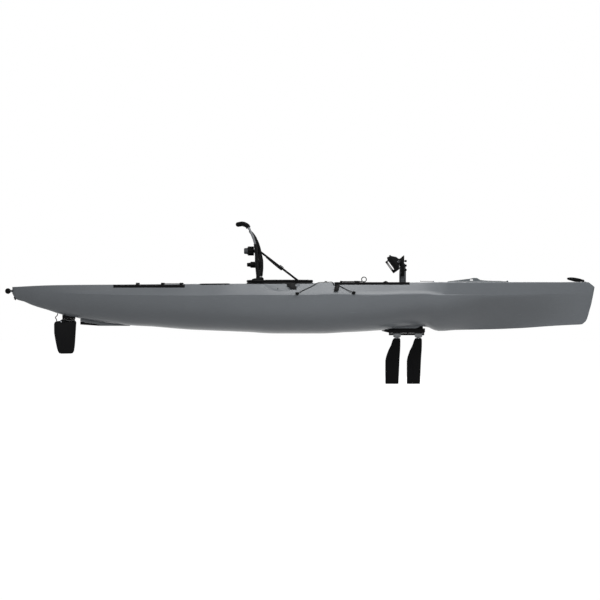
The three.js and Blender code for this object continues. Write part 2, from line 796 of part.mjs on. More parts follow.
function bowHatchLid() {
  const bottom = hatchDeck() + hatch.rimRise + gap;
  const skirt = raised(hatchOutline(hatch.lidLap), [bottom, bottom + lid.edge]);
  const plan = [hatchOutline(hatch.lidLap - gap), hatchOutline(-hatch.halfWidth / 3)];
  const heights = [bottom + lid.edge / 2, bottom + lid.edge + lid.dome];
  const dome = loft(plan.map((ring, k) => ring.map(([x, y]) => [x, y, heights[k]])), 2);
  const rings = [];
  const span = hatch.fore - hatch.aft + 2 * hatch.lidLap;
  for (let i = 0; i <= lid.stations; i += 1) {
    const share = 0.01 + (0.98 * i) / lid.stations;
    const x = hatch.aft - hatch.lidLap + share * span;
    const half = lid.ridgeTipHalfWidth + (lid.ridgeHalfWidth - lid.ridgeTipHalfWidth) * Math.sin(share * Math.PI);
    const top = hatchDeck() + ridgeTop(x) + lid.edge;
    const low = bottom + lid.edge / 4;
    rings.push([
      [x, half, low], [x, half * 0.7, top - 2], [x, half * 0.3, top], [x, -half * 0.3, top],
      [x, -half * 0.7, top - 2], [x, -half, low],
    ]);
  }
  const hole = block(
    [ridgeHole.aft, ridgeHole.fore],
    [-hullBeam, hullBeam],
    [hatchDeck() + ridgeHole.bottom + lid.dome, hatchDeck() + ridgeHole.top],
  );
  const [hingeX, hingeZ] = hatchHingePlace();
  const barrel = rod("y", hinge.barrelRadius, -hinge.barrelHalf, hinge.barrelHalf, [hingeX, 0, hingeZ], 16);
  const leaf = block(
    [hatch.fore - hinge.barrelRadius, hingeX],
    [-hinge.barrelHalf, hinge.barrelHalf],
    [bottom + 1, bottom + lid.edge + 2],
  );
  const bore = rod("y", hinge.pinRadius + bearingGap, -hullBeam, hullBeam, [hingeX, 0, hingeZ], 12);
  return union([skirt, dome, loft(rings, 0).subtract(hole), leaf, barrel]).subtract(bore);
}

function bowHatchHingePin() {
  const [x, z] = hatchHingePlace();
  const half = hinge.barrelHalf + hinge.lugHalf + gap;
  return rod("y", hinge.pinRadius, -half, half, [x, 0, z], 12);
}

function bowHatchLatch() {
  const z = latchPivotHeight();
  const half = latch.width / 2;
  const x = latch.pivotX;
  const top = z + latch.barrelRadius * 0.6;
  const barrel = rod("y", latch.barrelRadius, -half, half, [x, 0, z], 14);
  const outline = [
    [x, top],
    [x - latch.reach + latch.thick, top],
    [x - latch.reach, top + latch.thick],
    [x - latch.reach - latch.thick, top + latch.thick / 2],
    [x - latch.reach, top - latch.thick],
    [x, top - latch.thick],
  ];
  const bar = across(outline, [-half, half]);
  return union([barrel, bar]).subtract(rod(
    "y",
    latch.pinRadius + bearingGap,
    -hullBeam,
    hullBeam,
    [x, 0, z],
    12,
  ));
}

// Round hatch

function roundHatchRim() {
  const x = roundHatch.x;
  const z = cockpit.floor;
  const flange = rod(
    "z",
    roundHatch.radius + roundHatch.flange,
    z + gap,
    z + roundHatch.flangeThick,
    [x, 0, 0],
    32,
  );
  const collar = rod(
    "z",
    roundHatch.radius - gap,
    z - 2 * roundHatch.collar,
    z + roundHatch.flangeThick,
    [x, 0, 0],
    32,
  );
  const hole = rod("z", roundHatch.radius - roundHatch.collar, z - overrun, z + overrun, [x, 0, 0], 32);
  return union([flange, collar]).subtract(hole);
}

function roundHatchLid() {
  const x = roundHatch.x;
  const z = cockpit.floor + roundHatch.flangeThick + gap;
  const top = z + roundHatch.lidThick;
  const disc = rod("z", roundHatch.radius + roundHatch.flange / 2, z, top, [x, 0, 0], 32);
  const plug = rod(
    "z",
    roundHatch.radius - roundHatch.collar - 2 * gap,
    z - 2 * roundHatch.collar,
    top,
    [x, 0, 0],
    32,
  );
  const half = roundHatch.radius * 0.7;
  const grip = block(
    [x - half, x + half],
    [-roundHatch.gripWidth / 2, roundHatch.gripWidth / 2],
    [z, top + roundHatch.gripHeight],
  );
  return union([disc, plug, grip]);
}

// Handles

function bowHandlePivot() {
  return [bowHandle.pivotX, deckHeight(bowHandle.pivotX) + bowHandle.rise];
}

function bowHandleBase() {
  const [x, z] = bowHandlePivot();
  const half = bowHandle.width / 2 + gap + bowBase.cheek;
  const low = deckHeight(x) + gap;
  const plate = block(
    [x - bowBase.length / 3, x + bowBase.length / 2],
    [-half, half],
    [low, low + bowBase.thick / 2],
  );
  const outline = [
    [x - bowBase.rise, low],
    [x + bowBase.rise, low],
    [x + bowBase.rise / 2, z + bowBase.rise / 2],
    [x - bowBase.rise / 2, z + bowBase.rise / 2],
  ];
  const cheek = across(outline, [half - bowBase.cheek, half]);
  return union([plate, cheek, mirrored(cheek), rod("y", bowHandle.pinRadius, -half, half, [x, 0, z], 12)]);
}

function bowHandleGrip() {
  const [x, z] = bowHandlePivot();
  const outline = bowHandleShares.map(([aft, up]) => [x - bowHandle.length * aft, z + bowHandle.crest * up]);
  const bar = across(outline, [-bowHandle.width / 2, bowHandle.width / 2]);
  return bar.subtract(rod("y", bowHandle.pinRadius + bearingGap, -hullBeam, hullBeam, [x, 0, z], 12));
}

function sternHandleGrip() {
  const x = sternX - sternHandle.lugThick - gap;
  const z = sternHandleHeight();
  const inner = sternHandle.lugThick / 2 + bearingGap;
  const outer = inner + sternHandle.cheek;
  const far = x - sternHandle.reach;
  const r = sternHandle.lugThick - 2 * gap;
  const cheekLine = [
    [x + r * 0.7, z - r * 0.7], [x + r, z], [x + r * 0.7, z + r * 0.7], [far, z + r], [far, z - r],
  ];
  const cheek = across(cheekLine, [inner, outer]);
  const grip = rod(
    "y",
    sternHandle.gripRadius,
    -sternHandle.gripHalf,
    sternHandle.gripHalf,
    [far, 0, z],
    20,
  );
  const relief = block(
    [x - sternHandle.lugThick - 2 * gap, x + r],
    [-inner, inner],
    [z - 3 * r, z + 3 * r],
  );
  const pin = rod("y", sternHandle.pinRadius, -outer, outer, [x, 0, z], 12);
  return union([union([cheek, mirrored(cheek), grip]).subtract(relief), pin]);
}

// Gear tracks, with lugs on the stern pair

function gearTrack(place, lugXs) {
  const length = place.fore - place.aft;
  const top = trackTop(place);
  const half = track.width / 2;
  const slot = track.slot / 2;
  const throat = track.throat / 2;
  const deep = top - track.slotDepth;
  const outline = [
    [-half, top - track.height],
    [half, top - track.height],
    [half, top],
    [slot, top],
    [slot, top - track.lip],
    [throat, top - track.lip],
    [throat, deep],
    [-throat, deep],
    [-throat, top - track.lip],
    [-slot, top - track.lip],
    [-slot, top],
    [-half, top],
  ];
  const lugs = lugXs.map((x) => {
    const from = x - place.aft - lug.length / 2;
    const body = block(
      [from, from + lug.length],
      [-half, -half + lug.width],
      [top - track.lip, top + lug.height],
    );
    const hole = rod(
      "y",
      lug.holeRadius,
      -track.width,
      track.width,
      [from + lug.length / 2, 0, top + lug.holeRise],
      10,
    );
    return body.subtract(hole);
  });
  return onTrack(union([along(outline, [0, length]), ...lugs]), place);
}

// How fast the stern tracks spread towards the bow
function sternSpread() {
  return (gunwaleHalf(sternTrack.fore) - gunwaleHalf(sternTrack.aft)) / (sternTrack.fore - sternTrack.aft);
}

// The middle of a lug on the port stern track
function lugHalf(x) {
  const middle = gunwaleHalf(sternTrack.aft) + sternSpread() * (x - sternTrack.aft);
  return middle - track.inset - track.width + lug.width / 2;
}

// Cargo bungee, laced from lug to lug across the well
function cargoBungee() {
  const z = trackTop(sternTrack) + lug.holeRise;
  const w = lug.width;
  const [a, b, c] = lugPlaces;
  const at = (x, side, out) => [x - out * sternSpread(), side * (lugHalf(x) + out), z];
  const points = [
    at(a, 1, w), at(a, 1, 0), at(a, 1, -1.2 * w), at(a + w, 1, -4 * w),
    at(b - w, -1, -4 * w), at(b, -1, -1.2 * w), at(b, -1, 0), at(b, -1, 0.7 * w), at(b + 0.5 * w, -1, 1.5 * w),
    at(c - 0.5 * w, -1, 1.5 * w), at(c, -1, 0.7 * w), at(c, -1, 0), at(c, -1, -1.2 * w), at(c - w, -1, -4 * w),
    at(b + w, 1, -4 * w), at(b, 1, -1.2 * w), at(b, 1, 0), at(b, 1, w),
  ];
  return tube(points, bungeeRadius, 64, 6);
}

// Paddle keeper

function paddleEye(x) {
  const disc = rod("z", eye.baseRadius, gap, eye.baseThick, [0, 0, 0], 16);
  const ring = new THREE.TorusGeometry(eye.ringRadius, eye.ringTube, 8, 16);
  ring.rotateY(Math.PI / 2);
  ring.translate(0, 0, eye.ringRadius + eye.baseThick / 2);
  const cutAway = rod("z", 2 * eye.baseRadius, -overrun, gap, [0, 0, 0], 16);
  const body = union([disc, bareSolid(ring).subtract(cutAway)]);
  const turned = body.rotate([90 - faceLean(x) / degree, 0, 0]);
  const at = facePoint(x, eyeRiseShare, 0);
  return moved(turned, at[0], at[1], at[2]);
}

function paddleBungee() {
  const deckY = (x) => -(gunwaleHalf(x) * deckEdgeShare - overrun);
  const onDeck = (x, y, up) => [x, y, deckHeight(x) + up];
  const through = eye.ringRadius + eye.baseThick / 2;
  const points = [
    facePoint(eyePlaces.aft - 9, eyeRiseShare - 0.03, through),
    facePoint(eyePlaces.aft, eyeRiseShare, through),
    facePoint(eyePlaces.aft + 11, eyeRiseShare + 0.05, through - 1),
    facePoint(eyePlaces.aft + 34, 0.32, 7),
    facePoint(90, 0.7, 4),
    facePoint(140, 1, 5),
    onDeck(172, deckY(172) - 18, 4),
    onDeck(200, deckY(200) - 8, bungeeRadius + gap),
    onDeck(235, deckY(235) - 8, bungeeRadius + gap),
    onDeck(262, deckY(262) - 20, 4),
    facePoint(276, 1, 6),
    facePoint(286, 0.82, 4.5),
    facePoint(305, 0.6, 4.5),
    facePoint(340, 0.42, 4.5),
    facePoint(eyePlaces.fore - 34, 0.22, 7),
    facePoint(eyePlaces.fore - 11, eyeRiseShare + 0.03, through - 1),
    facePoint(eyePlaces.fore, eyeRiseShare, through),
    facePoint(eyePlaces.fore + 9, eyeRiseShare - 0.02, through),
  ];
  return tube(points, bungeeRadius, 64, 6);
}

function paddleHook() {
  const middle = (hook.aft + hook.fore) / 2;
  const face = deckHeight(middle) - creaseHeight(middle);
  const low = hookRiseShares[0] * face;
  const high = hookRiseShares[1] * face;
  const half = (hook.fore - hook.aft) / 2;
  const outline = [
    [-half, low],
    [half - hook.lean, low],
    [half, high],
    [-half + hook.lean, high],
  ];
  const plate = across(outline, [-hook.lift - hook.thick, -hook.lift]).rotate([
    -faceLean(middle) / degree,
    0,
    0,
  ]);
  const at = facePoint(middle, 0, 0);
  return moved(plate, at[0], at[1], at[2]);
}

// Rudder

function rudderHousing() {
  const plan = oblong(
    rudder.x - rudder.housingHalf,
    rudder.x + rudder.housingHalf,
    () => rudder.housingHalfWidth,
    3,
    24,
  );
  const body = belowHull(raised(plan, [rudder.housingBottom, rudder.housingTop]));
  return body.subtract(rod("z", spindle.radius + bearingGap, 0, spindle.top, [rudder.x, 0, 0], 16));
}

function yokeTop() {
  return rudder.housingBottom - gap;
}

function rudderHead() {
  const top = yokeTop();
  const plate = block([yoke.aft, yoke.fore], [-yoke.halfWidth, yoke.halfWidth], [top - yoke.thick, top]);
  const { x, z, radius } = bladePivot;
  const r = 3 * radius;
  const cheekLine = [
    [yoke.aft + 4 * r, top - yoke.thick / 2], [yoke.aft, top], [x - r, z + r / 2], [x - r, z - r / 2],
    [x, z - r], [x + r, z - r],
  ];
  const cheek = across(cheekLine, [yoke.halfWidth - yoke.cheek, yoke.halfWidth]);
  const stem = rod("z", spindle.radius, top - yoke.thick / 2, spindle.top, [rudder.x, 0, 0], 16);
  const drum = rod(
    "z",
    spindle.drumRadius,
    spindle.top - spindle.drumThick,
    spindle.top,
    [rudder.x, 0, 0],
    24,
  );
  const bore = rod("y", radius + bearingGap, -hullBeam, hullBeam, [x, 0, z], 12);
  return union([plate, cheek, mirrored(cheek), stem, drum]).subtract(bore);
}

// The blade's outline, starting at its top front corner, as offsets from its pivot
const bladeRise = yokeTop() - yoke.thick - gap - bladePivot.z;
const bladeOutline = [
  [119, bladeRise], [127, -4], [115, -196], [108, -246], [98, -263], [84, -268], [2, -269], [-15, -265], [-26, -252],
  [-36, -221], [-51, -146], [-59, -96], [-60, -21], [-54, -6], [-42, 3], [-17, 5],
  [12, bladeRise],
];

function rudderBlade() {
  const { x, z, radius } = bladePivot;
  const middle = [(bladeOutline[0][0] + bladeOutline[12][0]) / 2, bladeOutline[6][1] / 2];
  const scaled = (share) =>
    bladeOutline.map(([px, pz]) => [
      x + middle[0] + (px - middle[0]) * share,
      z + middle[1] + (pz - middle[1]) * share,
    ]);
  const ring = (share, y) => scaled(share).map(([px, pz]) => [px, y, pz]);
  const thick = blade.thick / 2;
  const edge = blade.edge / 2;
  const cheeks = yoke.halfWidth - yoke.cheek - thick;
  const body = loft([ring(0.86, -thick + gap), ring(1, -edge), ring(1, edge), ring(0.86, thick - gap)], 1);
  const boss = rod("y", 3 * radius - gap, -thick - cheeks + gap, thick + cheeks - gap, [x, 0, z], 16);
  const bore = rod("y", radius + bearingGap, -hullBeam, hullBeam, [x, 0, z], 12);
  return union([body, boss]).subtract(bore);
}

function rudderPivotPin() {
  return rod("y", bladePivot.radius, -yoke.halfWidth, yoke.halfWidth, [bladePivot.x, 0, bladePivot.z], 12);
}

function rudderLiftLine() {
  const x = bladePivot.x - 40;
  const top = keelHeight(x + 10) - 4 * gap;
  const points = [
    [x + 10, 0, top], [x + 8, 0, top - 14], [x - 8, 0, top - 34], [x, 0, bladePivot.z + 18],
    [x + 2, 0, bladePivot.z + 4],
  ];
  return tube(points, liftLineRadius, 10, 6);
}

// Lift handle and its cleat, on the starboard deck beside the track

function liftPlace(x) {
  return [-(gunwaleHalf(cockpitTrack.aft) - liftCleat.inset), deckHeight(x)];
}

function liftCordHeight() {
  return deckHeight(liftCleat.x) + liftCleat.height * 0.55;
}

function liftLineCleat() {
  const [y, z] = liftPlace(liftCleat.x);
  const half = liftCleat.length / 2;
  const w = liftCleat.width / 2;
  const fore = liftCleat.x + half;
  const low = z + 2 * gap;
  const plate = block([liftCleat.guideAft, fore], [y - w, y + w], [low, low + liftCleat.plate]);
  const jaws = block([liftCleat.x - half, fore], [y - w, y + w], [low, z + liftCleat.height]);
  const guide = block(
    [liftCleat.guideAft, liftCleat.guideAft + liftCleat.guideLength],
    [y - w, y + w],
    [low, z + liftCleat.height],
  );
  const bore = rod(
    "x",
    liftHandle.cordRadius + bearingGap,
    -hullLength,
    hullLength,
    [0, y, liftCordHeight()],
    12,
  );
  return union([plate, jaws, guide]).subtract(bore);
}

function rudderLiftHandle() {
  const [y, z] = liftPlace(liftCleat.x);
  const r = liftHandle.ringRadius;
  const ring = new THREE.TorusGeometry(r, liftHandle.cordRadius, 8, 20);
  ring.rotateX(Math.PI / 2);
  ring.translate(liftHandle.ringX, y, z + r + liftHandle.cordRadius + gap);
  const front = liftCleat.x + liftCleat.length / 2 + gap;
  const stopper = rod(
    "x",
    liftHandle.stopperRadius,
    front,
    front + liftHandle.stopperLength,
    [0, y, liftCordHeight()],
    12,
  );
  const cord = rod(
    "x",
    liftHandle.cordRadius,
    liftCleat.guideAft + 1,
    liftHandle.ringX - r * 0.8,
    [0, y, liftCordHeight()],
    8,
  );
  return union([bareSolid(ring), stopper, cord]);
}

// Steering lever on the port side of the cockpit

function steeringPlace() {
  return [steering.x, gunwaleHalf(steering.x) - steering.inset];
}

function steeringBase() {
  const [x, y] = steeringPlace();
  const low = steering.pocketFloor + gap;
  const disc = rod("z", steering.baseRadius, low, low + steering.baseThick, [x, y, 0], 24);
  const pin = rod(
    "z",
    lever.pinRadius,
    low,
    low + steering.baseThick + gap + lever.hubThick,
    [x, y, 0],
    12,
  );
  return union([disc, pin]);
}

function steeringHandle() {
  const [x, y] = steeringPlace();
  const low = steering.pocketFloor + steering.baseThick + 2 * gap;
  const z = [low, low + lever.hubThick];
  const hub = rod("z", lever.hubRadius, z[0], z[1], [x, y, 0], 20);
  const w = lever.width / 2;
  const arm = block([x - w * 0.7, x + w * 0.7], [y - lever.length, y], [z[0] + 1, z[1]]);
  const knob = rod("z", w, z[0] + 1, z[1] + 6, [x, y - lever.length, 0], 16);
  return union([hub, arm, knob]).subtract(rod(
    "z",
    lever.pinRadius + bearingGap,
    0,
    hullDepth,
    [x, y, 0],
    12,
  ));
}

function steeringCable() {
  const drumZ = spindle.top - spindle.drumThick / 2;
  const [x, y] = steeringPlace();
  const under = steering.pocketFloor - wall - cableRadius;
  const run = cableShares.map(([along, out, up]) => {
    const at = rudder.x + (x - rudder.x) * along;
    return [at, (halfBeam(at) - cableInboard) * out, hullDepth * up];
  });
  const points = [
    [rudder.x, spindle.drumRadius + cableRadius + gap, drumZ],
    ...run,
    [x - steering.baseRadius, y + steering.baseRadius / 2, under - 2 * cableRadius],
    [x, y, under - gap],
  ];
  return tube(points, cableRadius, 48, 6);
}

// Seat

function mountTop() {
  return deckHeight(seat.fore) + mount.thick;
}

function frameHeight() {
  return mountTop() + gap + seat.tube;
}

function seatMount() {
  const rings = [];
  const top = mountTop();
  const aft = seat.aft - seat.tube;
  const span = seat.fore + seat.tube - aft;
  for (let i = 0; i <= mount.steps; i += 1) {
    const x = aft + (i / mount.steps) * span;
    const inner = gunwaleHalf(x) - sideDeck + mount.clearOfWell;
    const edge = gunwaleHalf(x);
    const deck = deckHeight(x) + 2 * gap;
    const bend = edge * deckEdgeShare;
    rings.push([
      [x, inner, deck], [x, bend, deck], [x, edge, deck - deckEdgeDrop + 2 * gap],
      [x, edge, deck - deckEdgeDrop / 3], [x, bend, top], [x, inner, top],
    ]);
  }
  const at = mount.tabFore;
  const foot = facePoint(at, mount.tabRiseShare, 2 * gap);
  const head = facePoint(at, 1, 2 * gap);
  const footOut = facePoint(at, mount.tabRiseShare, mount.tabThick);
  const headOut = facePoint(at, 1, mount.tabThick);
  const edge = gunwaleHalf(at);
  const deck = deckHeight(at);
  const tabLine = [
    [-foot[1], foot[2]],
    [-footOut[1], footOut[2]],
    [-headOut[1], headOut[2]],
    [edge * deckEdgeShare, deck + mount.thick],
    [edge * deckEdgeShare, deck + 2 * gap],
    [-head[1], head[2] + gap],
  ];
  return union([loft(rings, 0), along(tabLine, [mount.tabAft, mount.tabFore])]);
}

function roundedLine(aft, fore, half, radius, z) {
  const shift = radius * (1 - Math.SQRT1_2);
  return [
    [fore, half, z],
    [aft + 2 * radius, half, z],
    [aft + radius, half, z],
    [aft + shift, half - shift, z],
    [aft, half - radius, z],
    [aft, 0, z],
    [aft, -half + radius, z],
    [aft + shift, -half + shift, z],
    [aft + radius, -half, z],
    [aft + 2 * radius, -half, z],
    [fore, -half, z],
  ];
}

function hingeHeight() {
  return frameHeight() + backHinge.rise;
}

function seatBaseFrame() {
  const z = frameHeight();
  const loop = tube(
    roundedLine(seat.aft, seat.fore, seat.halfWidth, seat.cornerRadius, z),
    seat.tube,
    44,
    10,
  );
  const front = tube(
    [
      [seat.fore, -seat.halfWidth - seat.tube, z], [seat.fore, 0, z],
      [seat.fore, seat.halfWidth + seat.tube, z],
    ],
    seat.tube,
    2,
    10,
  );
  const x = backHinge.x;
  const top = hingeHeight();
  const r = 2.4 * backHinge.rodRadius;
  const earLine = [
    [x - backHinge.earHalf * 3, z],
    [x + backHinge.earHalf, z],
    [x + r, top],
    [x + r / 2, top + r],
    [x - r / 2, top + r],
    [x - backHinge.earHalf * 2, top + r / 2],
  ];
  const ear = across(
    earLine,
    [seat.halfWidth - backHinge.earThick / 2, seat.halfWidth + backHinge.earThick / 2],
  );
  const bore = rod("y", backHinge.rodRadius + bearingGap, -hullBeam, hullBeam, [x, 0, top], 12);
  return union([loop, front, ear, mirrored(ear)]).subtract(bore);
}

function seatHingeRod() {
  const half = seat.halfWidth + backHinge.earThick;
  return rod("y", backHinge.rodRadius, -half, half, [backHinge.x, 0, hingeHeight()], 12);
}

function seatCushion() {
  const z = frameHeight() + seat.tube - cushion.drop;
  const fore = seat.fore - seat.tube - gap;
  const half = seat.halfWidth - seat.tube + 2 * gap;
  const outline = oblong(cushion.aft, fore, () => half, 8, 28);
  return raised(outline, [z - cushion.thick, z]);
}

function backShift(z) {
  return smoothAt(leanBack, z);
}

function backFrameLine(side) {
  const standX = pad.centreX - pad.thick - back.behindPad;
  const stand = ([z, shift]) => [standX + shift, side * back.halfWidth, z];
  return [
    [back.footX, side * back.halfWidth, hingeHeight() - back.footDrop],
    [back.footX, side * back.halfWidth, hingeHeight() + back.footRise],
    ...tubeLean.map(stand),
    [backShoulder.x, side * (back.halfWidth - backShoulder.inset), backShoulder.z],
    [backTop.bendX, side * (back.halfWidth - backTop.bendInset), backTop.bendZ],
    [(backTop.bendX + backTop.barX) / 2, side * backTop.halfWidth, backTop.crestZ],
    [backTop.barX, side * (backTop.halfWidth - backTop.cornerRun), backTop.barZ],
  ];
}

function backFrameTube(radius) {
  const starboard = backFrameLine(-1).reverse();
  return tube([...backFrameLine(1), [backTop.barX, 0, backTop.barZ], ...starboard], radius, 64, 8);
}

// The plates across the back frame lean with the pad in front of them
function plateFront(z) {
  return pad.centreX - pad.thick - back.plateGap + backShift(z);
}

function knobPlate(knob) {
  const low = knob.z - knob.plateHalf;
  const high = knob.z + knob.plateHalf;
  const thick = knob.plateThick;
  const outline = [
    [plateFront(low) - thick, low],
    [plateFront(low), low],
    [plateFront(high), high],
    [plateFront(high) - thick, high],
  ];
  return across(outline, [-back.halfWidth, back.halfWidth]);
}

function knobSeat(knob) {
  const reach = Math.min(knob.radius, knob.plateHalf);
  const low = plateFront(knob.z - reach);
  const high = plateFront(knob.z + reach);
  return Math.min(low, high) - knob.plateThick - 2 * gap;
}

function knobPin(knob) {
  return rod(
    "x",
    knobPinRadius,
    knobSeat(knob) - knob.length / 2,
    plateFront(knob.z) - 1,
    [0, 0, knob.z],
    12,
  );
}

function seatBackFrame() {
  const tubeSolid = backFrameTube(back.tube);
  const top = hingeHeight();
  const x = backHinge.x;
  const r = 2.4 * backHinge.rodRadius;
  const line = [
    [back.footX - back.tube / 2, top + r], [back.footX - back.tube / 2, top - r], [x + r / 2, top - r],
    [x + r, top - r / 3], [x + r, top + r / 2], [x + r / 2, top + r],
  ];
  const eyeBlock = across(line, [back.halfWidth - backHinge.eyeHalf, back.halfWidth + backHinge.eyeHalf]);
  const bore = rod("y", backHinge.rodRadius + bearingGap, -hullBeam, hullBeam, [x, 0, top], 12);
  const knobs = [heightKnob, lumbarKnob];
  const plates = knobs.flatMap((knob) => [knobPlate(knob), knobPin(knob)]);
  return union([tubeSolid, eyeBlock, mirrored(eyeBlock), ...plates]).subtract(bore);
}

function knobSolid(knob) {
  const x = knobSeat(knob);
  const far = x - knob.length;
  const body = rod("x", knob.radius, -x, -x + knob.length - knob.tip, [0, 0, 0], 20, knob.radius * 0.92);
  const tip = rod(
    "x",
    knob.radius * 0.78,
    -x + knob.length - 2 * knob.tip,
    -far,
    [0, 0, 0],
    20,
    knob.radius * 0.62,
  );
  const bore = rod(
    "x",
    knobPinRadius + bearingGap,
    -x - overrun,
    -x + knob.length / 2 + gap,
    [0, 0, 0],
    12,
  );
  return moved(union([body, tip]).subtract(bore).rotate([0, 0, 180]), 0, 0, knob.z);
}

function backHalfWidthAt(z) {
  const top = leanBack[leanBack.length - 1][0];
  const share = (z - pad.bottom) / (top - pad.bottom);
  return back.padHalfWidth - (back.padHalfWidth - back.padTopHalfWidth) * share ** 3;
}

function seatBackPad() {
  const rings = leanBack.map(([z, shift]) => {
    const half = backHalfWidthAt(z);
    const ring = [];
    const line = (y) => pad.centreX + pad.wrap * (y / back.padHalfWidth) ** 2 + shift;
    for (let i = 0; i <= 8; i += 1) {
      const y = half * (-1 + i / 4);
      ring.push([line(y), y, z]);
    }
    for (let i = 8; i >= 0; i -= 1) {
      const y = half * 0.96 * (-1 + i / 4);
      ring.push([line(y) - pad.thick, y, z]);
    }
    return ring;
  });
  return loft(rings, 2);
}

function seatTopPad() {
  const side = (s) => backFrameLine(s).slice(-3);
  const path = [...side(1), [backTop.barX, 0, backTop.barZ], ...side(-1).reverse()];
  return tube(path, gripRadius, 28, 12).subtract(backFrameTube(back.tube + gap));
}

function backStrap() {
  const rings = [];
  const foot = mountTop() + gap + strap.depth / 2;
  const outer = seat.halfWidth + seat.tube + strap.clearOfFrame + strap.thick / 2;
  const inner = back.padHalfWidth + gap + strap.thick;
  for (const share of [0, 0.35, 0.7, 1]) {
    const x = strap.topX + (strap.footX - strap.topX) * share;
    const y = inner + (outer - inner) * Math.min(1, share * 1.2);
    const z = strap.topZ + (foot - strap.topZ) * share;
    const t = strap.thick / 2;
    const d = strap.depth / 2;
    rings.push([[x, y - t, z - d], [x, y + t, z - d], [x, y + t, z + d], [x, y - t, z + d]]);
  }
  return loft(rings, 0);
}

// Pedal drive

function driveSpine() {
  const floor = cockpit.floor + gap;
  const lap = driveWell.halfWidth + spine.flangeLap;
  const flange = block(
    [driveWell.aft - spine.flangeLap, driveWell.fore + spine.flangeLap],
    [-lap, lap],
    [floor, floor + spine.flangeThick],
  );
  const wellAft = driveWell.aft + spine.flangeLap;
  const root = block(
    [wellAft, driveWell.fore - wall],
    [-spine.rootHalfWidth, spine.rootHalfWidth],
    [basePlate.top - gap, floor + gap],
  );
  const { halfLength, headHalf } = spine;
  const towerLine = [
    [axle.x - halfLength, floor + gap],
    [axle.x + halfLength, floor + gap],
    [axle.x + halfLength - shoulder.fore, floor + shoulder.rise],
    [axle.x + headHalf, spine.top],
    [axle.x - headHalf, spine.top],
    [axle.x - halfLength + shoulder.aft, floor + shoulder.rise],
  ];
  const tower = across(towerLine, [-spine.halfWidth, spine.halfWidth]);
  const tipTop = keelHeight(basePlate.aft) - 2 * gap - basePlate.underKeel;
  const tipBottom = basePlate.bottom + (tipTop - basePlate.bottom) * tipShare;
  const plateLine = [
    [basePlate.aft, tipTop],
    [basePlate.aft, tipBottom],
    [basePlate.aft + basePlate.tipLength, basePlate.bottom],
    [basePlate.fore - basePlate.noseCut, basePlate.bottom],
    [basePlate.fore, basePlate.bottom + basePlate.noseCut],
    [basePlate.fore, basePlate.top],
    [wellAft, basePlate.top],
    [wellAft, keelHeight(driveWell.aft) - 2 * gap],
  ];
  const plate = across(plateLine, [-basePlate.halfWidth, basePlate.halfWidth]);
  const room = 2 * bearingGap;
  const hubRooms = [mast.foreX, mast.aftX].map((x) =>
    rod("x", mast.hubRadius + room, x - mast.hubHalf - room, x + mast.hubHalf + room, [0, 0, mast.z], 24),
  );
  const pinAft = basePlate.aft + mastPost.fromTip;
  const pinFore = basePlate.fore - mastPost.fromNose;
  const pins = rod("x", mast.pinRadius, pinAft, pinFore, [0, 0, mast.z], 12);
  const posts = [pinAft + mastPost.half, (mast.aftX + mast.foreX) / 2, pinFore - mastPost.half].map((x) =>
    block(
      [x - mastPost.half, x + mastPost.half],
      [-mast.pinRadius, mast.pinRadius],
      [mast.z, basePlate.top - wall],
    ),
  );
  const bore = rod("y", axle.radius + bearingGap, -hullBeam, hullBeam, [axle.x, 0, axle.z], 16);
  return union([cut(union([flange, root, tower, plate]), [...hubRooms, bore]), pins, ...posts]);
}

function crankAxle() {
  return rod("y", axle.radius, -axle.half, axle.half, [axle.x, 0, axle.z], 16);
}

function crankSpan() {
  const inner = spine.halfWidth + crank.gapToSpine;
  return [inner, inner + crank.thick];
}

function crankArm() {
  const { x, z } = axle;
  const r = crank.hubRadius;
  const mid = x - crank.leanBack;
  const outline = [
    [x + r * 0.7, z - r * 0.7],
    [x + r, z],
    [x + crank.neckHalf, z + 2 * r],
    [mid + crank.half, z + 5 * r],
    [mid + crank.half, crank.top - 2 * r],
    [mid + crank.topHalf, crank.top],
    [mid - crank.topHalf, crank.top],
    [mid - crank.half, crank.top - 3 * r],
    [mid - crank.half, z + 6 * r],
    [x - crank.neckHalf, z + 2 * r],
    [x - r, z],
    [x - r * 0.7, z - r * 0.7],
    [x, z - r],
  ];
  const bore = rod("y", axle.radius + bearingGap, -hullBeam, hullBeam, [x, 0, z], 16);
  return across(outline, crankSpan()).subtract(bore);
}

function postSpan() {
  const inner = crankSpan()[1] + gap;
  return [inner, inner + post.thick];
}

function pedalPost() {
  const x = axle.x - crank.leanBack;
  const half = post.half;
  const lugHalf = post.lugHalf;
  const outline = [
    [x + half, post.bottom],
    [x + half, post.top],
    [x - half * 0.2, post.top],
    [x - half, post.top - half],
    [pedal.x - lugHalf, pedal.z + lugHalf],
    [pedal.x - lugHalf, pedal.z - lugHalf],
    [x - half, pedal.z - 2 * lugHalf],
    [x - half, post.bottom],
  ];
  const span = postSpan();
  const pin = rod("y", post.pinRadius, span[1] - 2, span[1] + post.pinLength, [pedal.x, 0, pedal.z], 12);
  const knobs = [pedal.z + 38, pedal.z, pedal.z - 36].map((z) =>
    rod("x", post.half / 2, x + half - 2, x + half + 22, [0, (span[0] + span[1]) / 2, z], 10),
  );
  return union([across(outline, span), pin, ...knobs]);
}

